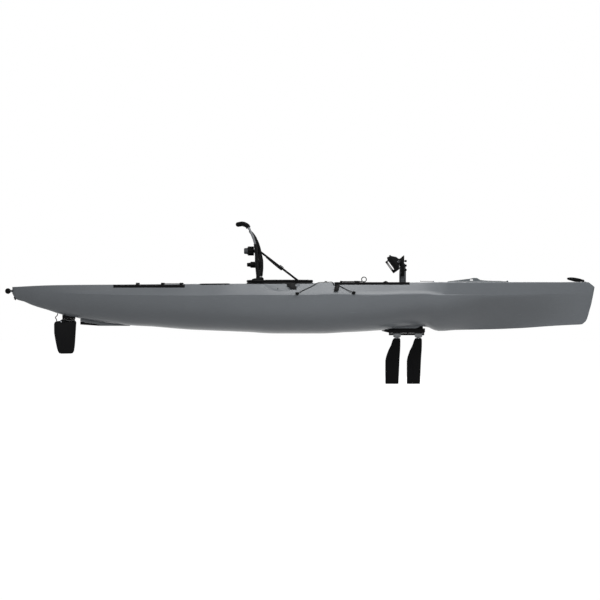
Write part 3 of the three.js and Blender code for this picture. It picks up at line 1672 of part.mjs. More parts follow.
function pedalBody() {
  const y = [postSpan()[1] + pedal.clear, postSpan()[1] + pedal.clear + pedal.width];
  const sleeve = rod("y", pedal.tubeRadius, y[0], y[1], [0, 0, 0], 16);
  const half = pedal.length / 2;
  const plate = block(
    [pedal.slide - half, pedal.slide + half],
    y,
    [-pedal.offset - pedal.thick / 2, -pedal.offset + pedal.thick / 2],
  );
  const web = block([-pedal.tubeRadius * 0.8, pedal.tubeRadius * 0.8], y, [-pedal.offset, 0]);
  const bore = rod("y", post.pinRadius + bearingGap, -hullBeam, hullBeam, [0, 0, 0], 12);
  return placedPedal(union([sleeve, plate, web]).subtract(bore));
}

// Turns a piece from the pedal's own frame, whose foot side faces down, onto its pin
function placedPedal(solid) {
  return moved(solid.rotate([0, -pedal.tilt, 0]), pedal.x, 0, pedal.z);
}

function pedalStrap() {
  const y0 = postSpan()[1] + pedal.clear;
  const y1 = y0 + pedal.width;
  const x = [pedal.slide - toeStrap.length / 2, pedal.slide + toeStrap.length / 2];
  const top = -pedal.offset - pedal.thick / 2 - gap;
  const low = top - toeStrap.rise;
  const t = toeStrap.thick;
  const line = [
    [y0, top],
    [y0, low + 16],
    [y0 + 16, low],
    [y1 - 16, low],
    [y1, low + 16],
    [y1, top],
    [y1 - t, top],
    [y1 - t, low + 16 + t * 0.4],
    [y1 - 16 - t * 0.4, low + t],
    [y0 + 16 + t * 0.4, low + t],
    [y0 + t, low + 16 + t * 0.4],
    [y0 + t, top],
  ];
  return placedPedal(along(line, x));
}

function mastSolid(x) {
  const hub = rod("x", mast.hubRadius, x - mast.hubHalf, x + mast.hubHalf, [0, 0, mast.z], 24);
  const stem = rod("z", mast.rodRadius, mast.rodBottom, mast.z - mast.hubRadius / 2, [x, 0, 0], 12);
  const bore = rod("x", mast.pinRadius + bearingGap, -hullLength, hullLength, [0, 0, mast.z], 12);
  return union([hub, stem]).subtract(bore);
}

function finSolid(x) {
  const height = fin.top - fin.bottom;
  const rings = finTailShares.map(([share, back]) => {
    const z = fin.top - height * share;
    const nose = smoothAt(finNoseShares, share);
    const n = fin.noseThick / 2;
    const t = fin.tailThick / 2;
    return [
      [x + nose, 0, z],
      [x + nose - 6, n * 0.75, z],
      [x + nose - 18, n, z],
      [x - 12, n, z],
      [x + back, t, z],
      [x + back, -t, z],
      [x - 12, -n, z],
      [x + nose - 18, -n, z],
      [x + nose - 6, -n * 0.75, z],
    ];
  });
  const bore = rod("z", mast.rodRadius + fin.boreClear, mast.rodBottom - gap, 0, [x, 0, 0], 12);
  return loft(rings, 2).subtract(bore);
}

// A turning latch that stands on the cockpit floor and holds the drive's flange down
function driveLatchSolid() {
  const { x, y, postRadius, length, width, thick } = driveLatch;
  const floor = cockpit.floor + gap;
  const top = floor + spine.flangeThick + gap;
  const stand = rod("z", postRadius, floor, top + thick, [x, y, 0], 16);
  const arm = block([x - width / 2, x + width / 2], [y - length, y], [top, top + thick]);
  return union([stand, arm]);
}

// Materials

const finishes = {
  hull: { color: 0x6f7276, roughness: 0.5, metalness: 0 },
  black: { color: 0x141516, roughness: 0.55, metalness: 0 },
  rubber: { color: 0x18191a, roughness: 0.8, metalness: 0 },
  fabric: { color: 0x1b1c1d, roughness: 0.95, metalness: 0 },
  cord: { color: 0x2b2c2e, roughness: 0.9, metalness: 0 },
  steel: { color: 0xb4b7ba, roughness: 0.3, metalness: 1 },
  aluminium: { color: 0xa5a8ab, roughness: 0.4, metalness: 1 },
  casting: { color: 0x4c4f52, roughness: 0.45, metalness: 0.2 },
};

const kayak = new THREE.Group();
kayak.name = "pedal_kayak";

function add(name, finish, solid) {
  const material = new THREE.MeshStandardMaterial(finishes[finish]);
  const mesh = new THREE.Mesh(geometryOf(solid), material);
  mesh.name = name;
  kayak.add(mesh);
}

function addPair(portName, starboardName, finish, solid) {
  add(portName, finish, solid);
  add(starboardName, finish, mirrored(solid));
}

add("hull_shell", "hull", hullShell());
add("skeg_keel", "hull", skegKeel());
add("keel_wear_pad", "black", keelWearPad());
add("drain_plug", "black", drainPlug());

add("bow_hatch_rim", "black", bowHatchRim());
add("bow_hatch_lid", "hull", bowHatchLid());
add("bow_hatch_hinge_pin", "steel", bowHatchHingePin());
add("bow_hatch_latch", "black", bowHatchLatch());
add("round_hatch_rim", "black", roundHatchRim());
add("round_hatch_lid", "black", roundHatchLid());

add("bow_handle_base", "black", bowHandleBase());
add("bow_handle", "black", bowHandleGrip());
add("stern_handle", "black", sternHandleGrip());

addPair("cockpit_track_port", "cockpit_track_starboard", "black", gearTrack(cockpitTrack, []));
addPair("stern_track_port", "stern_track_starboard", "black", gearTrack(sternTrack, lugPlaces));
add("cargo_bungee", "cord", cargoBungee());

add("paddle_eye_aft", "black", paddleEye(eyePlaces.aft));
add("paddle_eye_fore", "black", paddleEye(eyePlaces.fore));
add("paddle_bungee", "cord", paddleBungee());
add("paddle_hook", "black", paddleHook());

add("rudder_housing", "black", rudderHousing());
add("rudder_head", "black", rudderHead());
add("rudder_blade", "black", rudderBlade());
add("rudder_pivot_pin", "steel", rudderPivotPin());
add("rudder_lift_line", "cord", rudderLiftLine());
add("rudder_lift_handle", "cord", rudderLiftHandle());
add("lift_line_cleat", "black", liftLineCleat());
add("steering_base", "black", steeringBase());
add("steering_handle", "black", steeringHandle());
add("steering_cable", "cord", steeringCable());

add("seat_base_frame", "black", seatBaseFrame());
add("seat_cushion", "fabric", seatCushion());
addPair("seat_mount_port", "seat_mount_starboard", "black", seatMount());
add("seat_back_frame", "aluminium", seatBackFrame());
add("seat_back_pad", "fabric", seatBackPad());
add("seat_top_pad", "rubber", seatTopPad());
add("seat_hinge_rod", "steel", seatHingeRod());
add("back_height_knob", "black", knobSolid(heightKnob));
add("lumbar_knob", "black", knobSolid(lumbarKnob));
addPair("back_strap_port", "back_strap_starboard", "fabric", backStrap());

add("drive_spine", "black", driveSpine());
add("crank_axle", "steel", crankAxle());
addPair("crank_port", "crank_starboard", "casting", crankArm());
addPair("pedal_post_port", "pedal_post_starboard", "black", pedalPost());
addPair("pedal_port", "pedal_starboard", "black", pedalBody());
addPair("pedal_strap_port", "pedal_strap_starboard", "fabric", pedalStrap());
add("front_mast", "casting", mastSolid(mast.foreX));
add("rear_mast", "casting", mastSolid(mast.aftX));
add("front_fin", "rubber", finSolid(mast.foreX));
add("rear_fin", "rubber", finSolid(mast.aftX));
addPair("drive_latch_port", "drive_latch_starboard", "black", driveLatchSolid());

export default kayak;
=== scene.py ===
import json
import math

import bmesh
import bpy
from mathutils import Matrix, Vector


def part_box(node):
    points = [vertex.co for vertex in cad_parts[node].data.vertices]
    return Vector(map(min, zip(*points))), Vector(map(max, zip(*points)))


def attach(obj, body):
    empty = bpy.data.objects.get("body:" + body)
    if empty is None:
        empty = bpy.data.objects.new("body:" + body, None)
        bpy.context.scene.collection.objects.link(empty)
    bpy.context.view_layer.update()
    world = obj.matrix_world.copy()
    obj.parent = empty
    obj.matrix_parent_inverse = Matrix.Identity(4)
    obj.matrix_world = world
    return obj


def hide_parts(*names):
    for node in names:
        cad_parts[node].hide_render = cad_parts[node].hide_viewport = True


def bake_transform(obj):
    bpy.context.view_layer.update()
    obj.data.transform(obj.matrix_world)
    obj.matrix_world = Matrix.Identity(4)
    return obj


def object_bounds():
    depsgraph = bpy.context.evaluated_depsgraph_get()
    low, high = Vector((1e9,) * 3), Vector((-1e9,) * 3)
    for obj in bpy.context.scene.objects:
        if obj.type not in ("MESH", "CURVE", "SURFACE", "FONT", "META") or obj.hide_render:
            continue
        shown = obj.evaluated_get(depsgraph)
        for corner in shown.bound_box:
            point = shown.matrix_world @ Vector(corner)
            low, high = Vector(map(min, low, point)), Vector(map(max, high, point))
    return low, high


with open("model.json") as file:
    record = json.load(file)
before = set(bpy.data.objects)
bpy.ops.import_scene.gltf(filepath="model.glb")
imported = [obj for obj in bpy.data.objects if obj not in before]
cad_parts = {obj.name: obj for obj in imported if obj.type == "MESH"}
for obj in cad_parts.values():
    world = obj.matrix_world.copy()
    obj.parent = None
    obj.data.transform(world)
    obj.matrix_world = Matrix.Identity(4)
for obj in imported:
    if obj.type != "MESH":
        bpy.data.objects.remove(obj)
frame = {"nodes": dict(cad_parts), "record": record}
cad_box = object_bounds()

# The hull's form, in metres. Plan, keel and deck are the same as in the part's source.
# The crease and the flare are shaped more closely here.
HULL_LENGTH = 4.869
HULL_DEPTH = 0.43
HALF_BEAM = 0.36
STERN_X = -HULL_LENGTH * 0.49374
BOW_X = STERN_X + HULL_LENGTH
KEEL_HALF = 0.022
EDGE_DROP = 0.006

BEAM_SHARES = [
    (0, 0.05), (0.02, 0.14), (0.061, 0.28), (0.11, 0.42), (0.17, 0.575), (0.24, 0.73), (0.3225, 0.87),
    (0.4, 0.96), (0.4937, 1), (0.57, 0.99), (0.65, 0.925), (0.7244, 0.82), (0.8, 0.655), (0.858, 0.5),
    (0.913, 0.33), (0.94, 0.235), (0.968, 0.135), (0.9835, 0.075), (0.994, 0.04), (1, 0.03),
]
KEEL_SHARES = [
    (0, 0.778), (0.0064, 0.671), (0.02, 0.622), (0.034, 0.554), (0.0614, 0.457), (0.0887, 0.36),
    (0.11, 0.31), (0.12, 0.285), (0.175, 0.205), (0.202, 0.16), (0.24, 0.136), (0.281, 0.097),
    (0.3225, 0.068), (0.364, 0.0486), (0.405, 0.029), (0.46, 0), (0.52, 0), (0.57, 0.024),
    (0.625, 0.058), (0.6488, 0.085), (0.67, 0.125), (0.7, 0.135), (0.7139, 0.12), (0.7244, 0.068),
    (0.7346, 0.0486), (0.7622, 0.068), (0.8032, 0.078), (0.8583, 0.097), (0.9133, 0.136), (0.9406, 0.156),
    (0.9682, 0.171), (0.9751, 0.175), (0.9835, 0.223), (0.987, 0.281), (0.9906, 0.419), (0.994, 0.553),
    (0.9973, 0.729), (1, 0.89),
]
DECK_SHARES = [
    (0, 0.905), (0.0887, 0.943), (0.19, 0.952), (0.298, 0.963), (0.4, 0.972), (0.5165, 0.981),
    (0.5525, 0.993), (0.6815, 0.993), (0.734, 1), (0.987, 1), (0.994, 0.96), (1, 0.905),
]
ROUND_SHARES = [
    (0, 1.6), (0.1, 1.9), (0.25, 2.5), (0.5, 3), (0.65, 2.6), (0.75, 1.9), (0.85, 1.35), (1, 1.15)
]
FLARE_SHARES = [
    (0, 1.6), (0.25, 2.4), (0.5, 2.9), (0.65, 2.4), (0.75, 1.55), (0.83, 0.85), (0.9, 0.77), (1, 1)
]
LEAN_SHARES = [
    (0, 0), (0.08, 0.03), (0.15, 0.1), (0.3, 0.15), (0.68, 0.15), (0.722, 0.135), (0.75, 0.03),
    (0.77, 0.01), (1, 0),
]
CREASE_SHARES = [(0, 0.74), (0.3, 0.745), (0.42, 0.765), (0.54, 0.765), (0.62, 0.735), (0.7, 0.73), (1, 0.73)]


def smooth_at(rows, place):
    """A smooth line through [place, value] rows, with no overshoot."""
    if place <= rows[0][0]:
        return rows[0][1]
    if place >= rows[-1][0]:
        return rows[-1][1]
    i = next(k for k in range(len(rows) - 1) if place < rows[k + 1][0])

    def rise(k):
        return (rows[k + 1][1] - rows[k][1]) / (rows[k + 1][0] - rows[k][0])

    def slope(k):
        if k == 0:
            return rise(0)
        if k == len(rows) - 1:
            return rise(k - 1)
        before, after = rise(k - 1), rise(k)
        return 0 if before * after <= 0 else 2 * before * after / (before + after)

    span = rows[i + 1][0] - rows[i][0]
    t = (place - rows[i][0]) / span
    start = rows[i][1] + t * span * slope(i)
    end = rows[i + 1][1] - (1 - t) * span * slope(i + 1)
    blend = t * t * (3 - 2 * t)
    return start * (1 - blend) + end * blend


def share_at(x):
    return (x - STERN_X) / HULL_LENGTH


def keel_height(x):
    return smooth_at(KEEL_SHARES, share_at(x)) * HULL_DEPTH


def deck_height(x):
    return smooth_at(DECK_SHARES, share_at(x)) * HULL_DEPTH


def half_beam(x):
    return smooth_at(BEAM_SHARES, share_at(x)) * HALF_BEAM


def gunwale_half(x):
    return half_beam(x) * (1 - smooth_at(LEAN_SHARES, share_at(x)))


def crease_height(x):
    return keel_height(x) + (deck_height(x) - keel_height(x)) * smooth_at(CREASE_SHARES, share_at(x))


def face_point(x, rise, off, side=-1):
    """A point on the leaning face above the crease, with off its distance from that face."""
    foot = Vector((half_beam(x), crease_height(x)))
    head = Vector((gunwale_half(x), deck_height(x) - EDGE_DROP))
    run = (head - foot).normalized()
    point = foot + (head - foot) * rise + Vector((run.y, -run.x)) * off
    return Vector((x, side * point.x, point.y))


# Making and shaping

AXIS_TURNS = {"x": (0, math.pi / 2, 0), "y": (-math.pi / 2, 0, 0), "z": (0, 0, 0)}
OTHER_SIDE = Matrix.Diagonal((1, -1, 1, 1))
WELD = 0.00001


def choose(*pieces):
    """Selects only these pieces, with the first one active."""
    bpy.ops.object.select_all(action="DESELECT")
    for piece in pieces:
        piece.select_set(True)
    bpy.context.view_layer.objects.active = pieces[0]


def added(make, **values):
    """A new primitive, added with nothing else selected."""
    bpy.ops.object.select_all(action="DESELECT")
    make(**values)
    return bpy.context.active_object


def settle(piece):
    """Moves a piece's place, turn and scale into its mesh."""
    choose(piece)
    bpy.ops.object.transform_apply(location=True, rotation=True, scale=True)
    return piece


def modify(piece, kind, **values):
    """Adds a modifier and applies it."""
    choose(piece)
    modifier = piece.modifiers.new(kind.title(), kind)
    for name, value in values.items():
        setattr(modifier, name, value)
    bpy.ops.object.modifier_apply(modifier=modifier.name)
    return piece


def in_edit(piece, *steps):
    """Runs edit-mode steps with everything selected before the first."""
    choose(piece)
    bpy.ops.object.mode_set(mode="EDIT")
    bpy.ops.mesh.select_all(action="SELECT")
    for step in steps:
        step()
    bpy.ops.object.mode_set(mode="OBJECT")
    return piece


def outward(piece):
    return in_edit(piece, lambda: bpy.ops.mesh.normals_make_consistent(inside=False))


def weld(distance=WELD):
    bpy.ops.mesh.remove_doubles(threshold=distance)


def mirrored(piece):
    """Mirrors a piece over the boat's middle."""
    piece.data.transform(OTHER_SIDE)
    return outward(piece)


def shade(piece, degrees=35):
    choose(piece)
    bpy.ops.object.shade_smooth_by_angle(angle=math.radians(degrees))
    return piece


def soften(piece, width, segments=2, degrees=30, smooth=40):
    """Rounds the edges that are sharper than degrees, and shades smooth up to another angle."""
    modify(
        piece, "BEVEL", width=width, segments=segments, limit_method="ANGLE",
        angle_limit=math.radians(degrees), use_clamp_overlap=True, harden_normals=False,
    )
    return shade(piece, smooth)


def join(pieces):
    choose(*pieces)
    if len(pieces) > 1:
        bpy.ops.object.join()
    return bpy.context.view_layer.objects.active


def block(low, high):
    """A box between two corners."""
    centre = [(a + b) / 2 for a, b in zip(low, high)]
    piece = added(bpy.ops.mesh.primitive_cube_add, size=1, location=centre)
    piece.scale = [b - a for a, b in zip(low, high)]
    return settle(piece)


def rod(axis, radius, low, high, centre, sides=32, tip=None):
    """A round bar along an axis from low to high, with tip the radius at its high end."""
    place = Vector(centre)
    place["xyz".index(axis)] += (low + high) / 2
    piece = added(
        bpy.ops.mesh.primitive_cone_add, vertices=sides, radius1=radius,
        radius2=radius if tip is None else tip, depth=high - low, location=place, rotation=AXIS_TURNS[axis],
    )
    return settle(piece)


def plate(outline, plane, low, high):
    """A flat outline of points pushed out from low to high. plane is the outline's own two axes."""
    piece = added(bpy.ops.mesh.primitive_circle_add, vertices=len(outline), radius=1, fill_type="NGON")
    first, second = ("xyz".index(letter) for letter in plane)
    third = 3 - first - second
    for vertex, (a, b) in zip(piece.data.vertices, outline):
        vertex.co[first], vertex.co[second], vertex.co[third] = a, b, low
    push = [0, 0, 0]
    push[third] = high - low
    in_edit(piece, lambda: bpy.ops.mesh.extrude_region_move(TRANSFORM_OT_translate={"value": push}))
    return outward(piece)


def skin(rings):
    """A closed skin through rings of points, made from a grid whose rows are laid along the rings."""
    count = len(rings[0])
    piece = added(
        bpy.ops.mesh.primitive_grid_add, x_subdivisions=count, y_subdivisions=len(rings) - 1, size=1
    )
    for r, ring in enumerate(rings):
        for c in range(count + 1):
            piece.data.vertices[r * (count + 1) + c].co = ring[c % count]
    in_edit(piece, weld)
    fill_ends(piece)
    return outward(piece)


def fill_ends(piece):
    mesh = bmesh.new()
    mesh.from_mesh(piece.data)
    bmesh.ops.holes_fill(mesh, edges=[e for e in mesh.edges if e.is_boundary], sides=0)
    mesh.to_mesh(piece.data)
    mesh.free()


def curve_points(points, steps, closed=False):
    """Points along a smooth line through the given ones, the centripetal line of the part's source."""
    p = [Vector(q) for q in points]
    if closed:
        ends = [p[-1]] + p + [p[0], p[1]]
    else:
        ends = [p[0] * 2 - p[1]] + p + [p[-1] * 2 - p[-2]]
    line = []
    spans = len(p) if closed else len(p) - 1
    per_span = max(2, math.ceil(steps / spans))
    for i in range(spans):
        a, b, c, d = ends[i : i + 4]
        ta = max((b - a).length, 1e-6) ** 0.5
        tb = max((c - b).length, 1e-6) ** 0.5
        tc = max((d - c).length, 1e-6) ** 0.5
        out = ((b - a) / ta - (c - a) / (ta + tb) + (c - b) / tb) * tb
        into = ((c - b) / tb - (d - b) / (tb + tc) + (d - c) / tc) * tb
        for k in range(per_span):
            t = k / per_span
            line.append(
                b * (2 * t**3 - 3 * t**2 + 1) + out * (t**3 - 2 * t**2 + t)
                + c * (3 * t**2 - 2 * t**3) + into * (t**3 - t**2)
            )
    if not closed:
        line.append(p[-1])
    return line


def tube(points, radius, steps=60, sides=16, closed=False):
    """A round tube along a smooth line, as a mesh."""
    line = curve_points(points, steps, closed)
    data = bpy.data.curves.new("line", "CURVE")
    data.dimensions = "3D"
    spline = data.splines.new("POLY")
    spline.points.add(len(line) - 1)
    for point, place in zip(spline.points, line):
        point.co = (*place, 1)
    spline.use_cyclic_u = closed
    data.bevel_depth = radius
    data.bevel_resolution = max(1, sides // 4 - 1)
    data.use_fill_caps = True
    piece = bpy.data.objects.new("line", data)
    bpy.context.scene.collection.objects.link(piece)
    choose(piece)
    bpy.ops.object.convert(target="MESH")
    piece = bpy.context.view_layer.objects.active
    in_edit(piece, weld)
    return shade(outward(piece), 50)


def turned(profile, axis, centre, steps=48):
    """A round piece spun from [radius, along] points round an axis."""
    piece = added(bpy.ops.mesh.primitive_grid_add, x_subdivisions=len(profile) - 1, y_subdivisions=1, size=1)
    mesh = bmesh.new()
    mesh.from_mesh(piece.data)
    bmesh.ops.delete(mesh, geom=mesh.verts[:], context="VERTS")
    verts = [mesh.verts.new((radius, 0, along)) for radius, along in profile]
    for a, b in zip(verts, verts[1:]):
        mesh.edges.new((a, b))
    bmesh.ops.spin(
        mesh, geom=mesh.verts[:] + mesh.edges[:], axis=(0, 0, 1), cent=(0, 0, 0), angle=math.tau, steps=steps
    )
    bmesh.ops.remove_doubles(mesh, verts=mesh.verts[:], dist=WELD)
    mesh.to_mesh(piece.data)
    mesh.free()
    piece.rotation_euler = AXIS_TURNS[axis]
    piece.location = centre
    settle(piece)
    return outward(piece)


def round_steps(count):
    """Even steps of a full turn."""
    return [k / count * math.tau for k in range(count)]


def back_again(points):
    """The same points on the other side, in the opposite order."""
    return [Vector((p.x, -p.y, p.z)) for p in reversed(points)]


def both_ways(half):
    """A whole profile from its half, whose points run from the far end to the middle."""
    return [(radius, -along) for radius, along in half] + half[::-1]


def from_solid(node):
    """A merged copy of a CAD piece's mesh, to be refined."""
    mesh = frame["nodes"][node].data.copy()
    mesh.materials.clear()
    piece = bpy.data.objects.new(node + "_detail", mesh)
    bpy.context.scene.collection.objects.link(piece)
    in_edit(
        piece,
        lambda: weld(2 * WELD),
        lambda: bpy.ops.mesh.dissolve_limited(angle_limit=math.radians(0.8)),
    )
    for polygon in piece.data.polygons:
        polygon.use_smooth = False
    return piece


def cut(piece, *tools):
    """Cuts each tool's shape out of a piece, and removes the tool."""
    for tool in tools:
        modify(piece, "BOOLEAN", object=tool, operation="DIFFERENCE", solver="EXACT")
        bpy.data.objects.remove(tool, do_unlink=True)
    return piece


def add_solid(piece, *others):
    for other in others:
        modify(piece, "BOOLEAN", object=other, operation="UNION", solver="EXACT")
        bpy.data.objects.remove(other, do_unlink=True)
    return piece


def to_other_side(piece):
    """A copy on the other side of the boat."""
    twin = bpy.data.objects.new(piece.name, piece.data.copy())
    bpy.context.scene.collection.objects.link(twin)
    return mirrored(twin)


def name_piece(piece, name, look, *nodes):
    """Names a piece, gives it its finish in its one slot, and hides the solids that it stands for."""
    piece.name = name
    piece.data.name = name
    piece.data.materials.clear()
    piece.data.materials.append(look)
    if nodes:
        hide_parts(*nodes)
    return piece


def hand_in(piece, name, body, look, *nodes):
    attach(piece, body)
    return name_piece(piece, name, look, *nodes)


# Finishes


def surface_group(name, inputs):
    """A node group that gives out colour, roughness and normal. The input with no value is a colour."""
    group = bpy.data.node_groups.new(name, "ShaderNodeTree")
    for label, value in inputs:
        kind = "Color" if value is None else "Float"
        socket = group.interface.new_socket(label, in_out="INPUT", socket_type="NodeSocket" + kind)
        if value is not None:
            socket.default_value = value
    for label, kind in (("Colour", "Color"), ("Roughness", "Float"), ("Normal", "Vector")):
        group.interface.new_socket(label, in_out="OUTPUT", socket_type="NodeSocket" + kind)
    return group, group.nodes.new("NodeGroupInput"), group.nodes.new("NodeGroupOutput")


def linked(tree, kind, inputs=None, **settings):
    """A node with its settings, and its inputs given as values or as sockets to link."""
    node = tree.nodes.new(kind)
    for name, value in settings.items():
        setattr(node, name, value)
    for name, value in (inputs or {}).items():
        if isinstance(value, bpy.types.NodeSocket):
            tree.links.new(value, node.inputs[name])
        else:
            node.inputs[name].default_value = value
    return node


def sum_up(tree, operation, first, second):
    """What a Math node makes of two values."""
    return linked(tree, "ShaderNodeMath", {0: first, 1: second}, operation=operation).outputs[0]


def put_out(group, given, out, level, rough, height, depth, strength):
    """Scales a group's colour by a level, and sends it out with the roughness and the bump."""
    tint = linked(group, "ShaderNodeVectorMath", {0: given.outputs["Colour"]}, operation="SCALE")
    group.links.new(level, tint.inputs["Scale"])
    bump = linked(group, "ShaderNodeBump", {"Height": height, "Distance": depth, "Strength": strength})
    for label, socket in (("Colour", tint.outputs[0]), ("Roughness", rough), ("Normal", bump.outputs[0])):
        group.links.new(socket, out.inputs[label])
    return group


def make_grain_group():
    """Moulded skin: a fine pebble in the surface, slow patches in colour and gloss, and pale drag scuffs."""
    group, given, out = surface_group(
        "moulded_grain",
        [("Colour", None), ("Gloss", 0.5), ("Grain size", 400.0), ("Grain depth", 0.0002), ("Patches", 0.06),
         ("Scuffs", 0.3)],
    )
    place = linked(group, "ShaderNodeTexCoord").outputs["Object"]
    size = given.outputs["Grain size"]
    fine = linked(group, "ShaderNodeTexNoise", {"Vector": place, "Scale": size, "Detail": 2.0})
    slow = linked(
        group, "ShaderNodeTexNoise", {"Vector": place, "Scale": 3.5, "Detail": 4.0, "Roughness": 0.6}
    )
    drawn = linked(group, "ShaderNodeMapping", {"Vector": place, "Scale": (5.0, 60.0, 150.0)})
    drag = linked(group, "ShaderNodeTexNoise", {"Vector": drawn.outputs[0], "Scale": 1.6, "Detail": 3.0})
    scuff = linked(
        group, "ShaderNodeMapRange",
        {"Value": drag.outputs["Fac"], "From Min": 0.6, "From Max": 0.76, "To Min": 0.0, "To Max": 1.0},
    )
    worn = sum_up(group, "MULTIPLY", scuff.outputs["Result"], given.outputs["Scuffs"])
    swing = sum_up(
        group, "MULTIPLY", sum_up(group, "SUBTRACT", slow.outputs["Fac"], 0.5), given.outputs["Patches"]
    )
    level = sum_up(group, "ADD", sum_up(group, "ADD", swing, 1.0), worn)
    dull = sum_up(group, "MULTIPLY", worn, 0.4)
    rough = sum_up(group, "ADD", sum_up(group, "ADD", swing, given.outputs["Gloss"]), dull)
    height = sum_up(group, "ADD", fine.outputs["Fac"], sum_up(group, "MULTIPLY", worn, -0.6))
    return put_out(group, given, out, level, rough, height, given.outputs["Grain depth"], 0.6)


def make_weave_group():
    """Woven threads: sets that cross, with dark gaps between them and slow fading."""
    group, given, out = surface_group(
        "thread_weave", [("Colour", None), ("Threads", 320.0), ("Depth", 0.0006), ("Fading", 0.25)]
    )
    place = linked(group, "ShaderNodeTexCoord").outputs["Object"]
    waves = [
        linked(
            group, "ShaderNodeTexWave",
            {"Vector": place, "Scale": given.outputs["Threads"], "Distortion": 0.4, "Detail": 1.0},
            wave_type="BANDS", bands_direction=axis, wave_profile="SIN",
        ).outputs["Fac"]
        for axis in ("X", "Y", "Z")
    ]
    every = sum_up(group, "ADD", sum_up(group, "MAXIMUM", waves[0], waves[1]), waves[2])
    slow = linked(group, "ShaderNodeTexNoise", {"Vector": place, "Scale": 14.0, "Detail": 3.0})
    faded = sum_up(
        group, "MULTIPLY", sum_up(group, "SUBTRACT", slow.outputs["Fac"], 0.5), given.outputs["Fading"]
    )
    dim = linked(
        group, "ShaderNodeMapRange",
        {"Value": every, "From Min": 0.4, "From Max": 1.8, "To Min": 0.5, "To Max": 1.3},
    )
    level = sum_up(group, "ADD", dim.outputs["Result"], faded)
    rough = sum_up(group, "ADD", faded, 0.82)
    return put_out(group, given, out, level, rough, every, given.outputs["Depth"], 0.7)


GRAIN = make_grain_group()
WEAVE = make_weave_group()


def srgb(r, g, b):
    return [((c / 255 + 0.055) / 1.055) ** 2.4 if c > 10 else c / 255 / 12.92 for c in (r, g, b)] + [1.0]


def finish_with(name, group, values, **own):
    """A material whose colour, roughness and normal come from a group, with its other sockets set here."""
    material = bpy.data.materials.new(name)
    material.use_nodes = True
    tree = material.node_tree
    surface = tree.nodes["Principled BSDF"]
    pattern = tree.nodes.new("ShaderNodeGroup")
    pattern.node_tree = group
    for label, value in values.items():
        pattern.inputs[label].default_value = value
    for source, target in (("Colour", "Base Color"), ("Roughness", "Roughness"), ("Normal", "Normal")):
        tree.links.new(pattern.outputs[source], surface.inputs[target])
    for label, value in own.items():
        surface.inputs[label.replace("_", " ")].default_value = value
    return material


def moulded(name, colour, gloss, size, depth, patches, scuffs, **own):
    values = {
        "Colour": colour, "Gloss": gloss, "Grain size": size, "Grain depth": depth, "Patches": patches,
        "Scuffs": scuffs,
    }
    return finish_with(name, GRAIN, values, **own)


def woven(name, colour, threads, depth, fading, **own):
    return finish_with(
        name, WEAVE, {"Colour": colour, "Threads": threads, "Depth": depth, "Fading": fading}, **own
    )


HULL_GREY = moulded(
    "hull_grey", srgb(98, 102, 106), 0.34, 240.0, 0.0004, 0.14, 0.16, Specular_IOR_Level=0.34
)
BLACK_PLASTIC = moulded(
    "black_plastic", srgb(12, 12, 13), 0.42, 900.0, 0.00015, 0.2, 0.5, Specular_IOR_Level=0.07
)
BLACK_RUBBER = moulded(
    "black_rubber", srgb(12, 12, 13), 0.6, 500.0, 0.00025, 0.25, 0.4, Specular_IOR_Level=0.05
)
FOAM = moulded("grip_foam", srgb(17, 17, 18), 0.85, 260.0, 0.0006, 0.3, 0.0, Specular_IOR_Level=0.07)
CASTING_GREY = moulded(
    "casting_grey", srgb(62, 64, 67), 0.4, 700.0, 0.0001, 0.15, 0.5, Metallic=0.35, Specular_IOR_Level=0.4
)
# Painted shade: the bow hatch lid is the hull's own plastic, given here a darker, duller copy of the hull
# grey that holds down its upward face under the overhead lamp.
LID_PAINTED_SHADE_GREY = moulded("lid_grey_painted_shade", srgb(84, 88, 91), 0.6, 240.0, 0.0004, 0.14, 0.16, Specular_IOR_Level=0.05)
HUB_GREY = moulded(
    "hub_grey", srgb(112, 114, 116), 0.34, 700.0, 0.0001, 0.2, 0.4, Metallic=0.3, Specular_IOR_Level=0.45
)
STEEL = moulded("steel", srgb(150, 152, 155), 0.3, 1500.0, 0.00003, 0.1, 0.15, Metallic=1.0)
ALUMINIUM = moulded("aluminium", srgb(98, 100, 103), 0.46, 1500.0, 0.00003, 0.08, 0.15, Metallic=1.0)
SEAT_MESH = woven(
    "seat_mesh", srgb(19, 19, 20), 420.0, 0.0007, 0.35, Sheen_Weight=0.05, Specular_IOR_Level=0.08
)
WEBBING = woven("webbing", srgb(17, 17, 18), 700.0, 0.0004, 0.3, Sheen_Weight=0.04, Specular_IOR_Level=0.08)
BRAID = woven("braid", srgb(15, 15, 16), 900.0, 0.0004, 0.4, Sheen_Weight=0.04, Specular_IOR_Level=0.08)
SLOT_LOOKS = {
    "hull_plastic": HULL_GREY, "black_plastic": BLACK_PLASTIC, "black_rubber": BLACK_RUBBER,
    "seat_fabric": SEAT_MESH, "cord": BRAID, "steel": STEEL, "frame_aluminium": ALUMINIUM,
    "drive_casting": CASTING_GREY,
}
LOOK_SLOTS = {look.name: slot for slot, look in SLOT_LOOKS.items()}
LOOK_SLOTS |= {
    FOAM.name: "black_rubber", LID_PAINTED_SHADE_GREY.name: "hull_plastic", HUB_GREY.name: "drive_casting",
    WEBBING.name: "seat_fabric",
}
BODY_OF = {node: body for body, nodes in frame["record"]["behaviour"]["bodies"].items() for node in nodes}
SLOT_OF = {part["node"]: part["material_slot"] for part in frame["record"]["subparts"]}

# CAD pieces that stay take the finish of their slot
for node, slot in SLOT_OF.items():
    shown = frame["nodes"][node]
    shown.data.materials.clear()
    shown.data.materials.append(SLOT_LOOKS[slot])


# Camera, light and ground

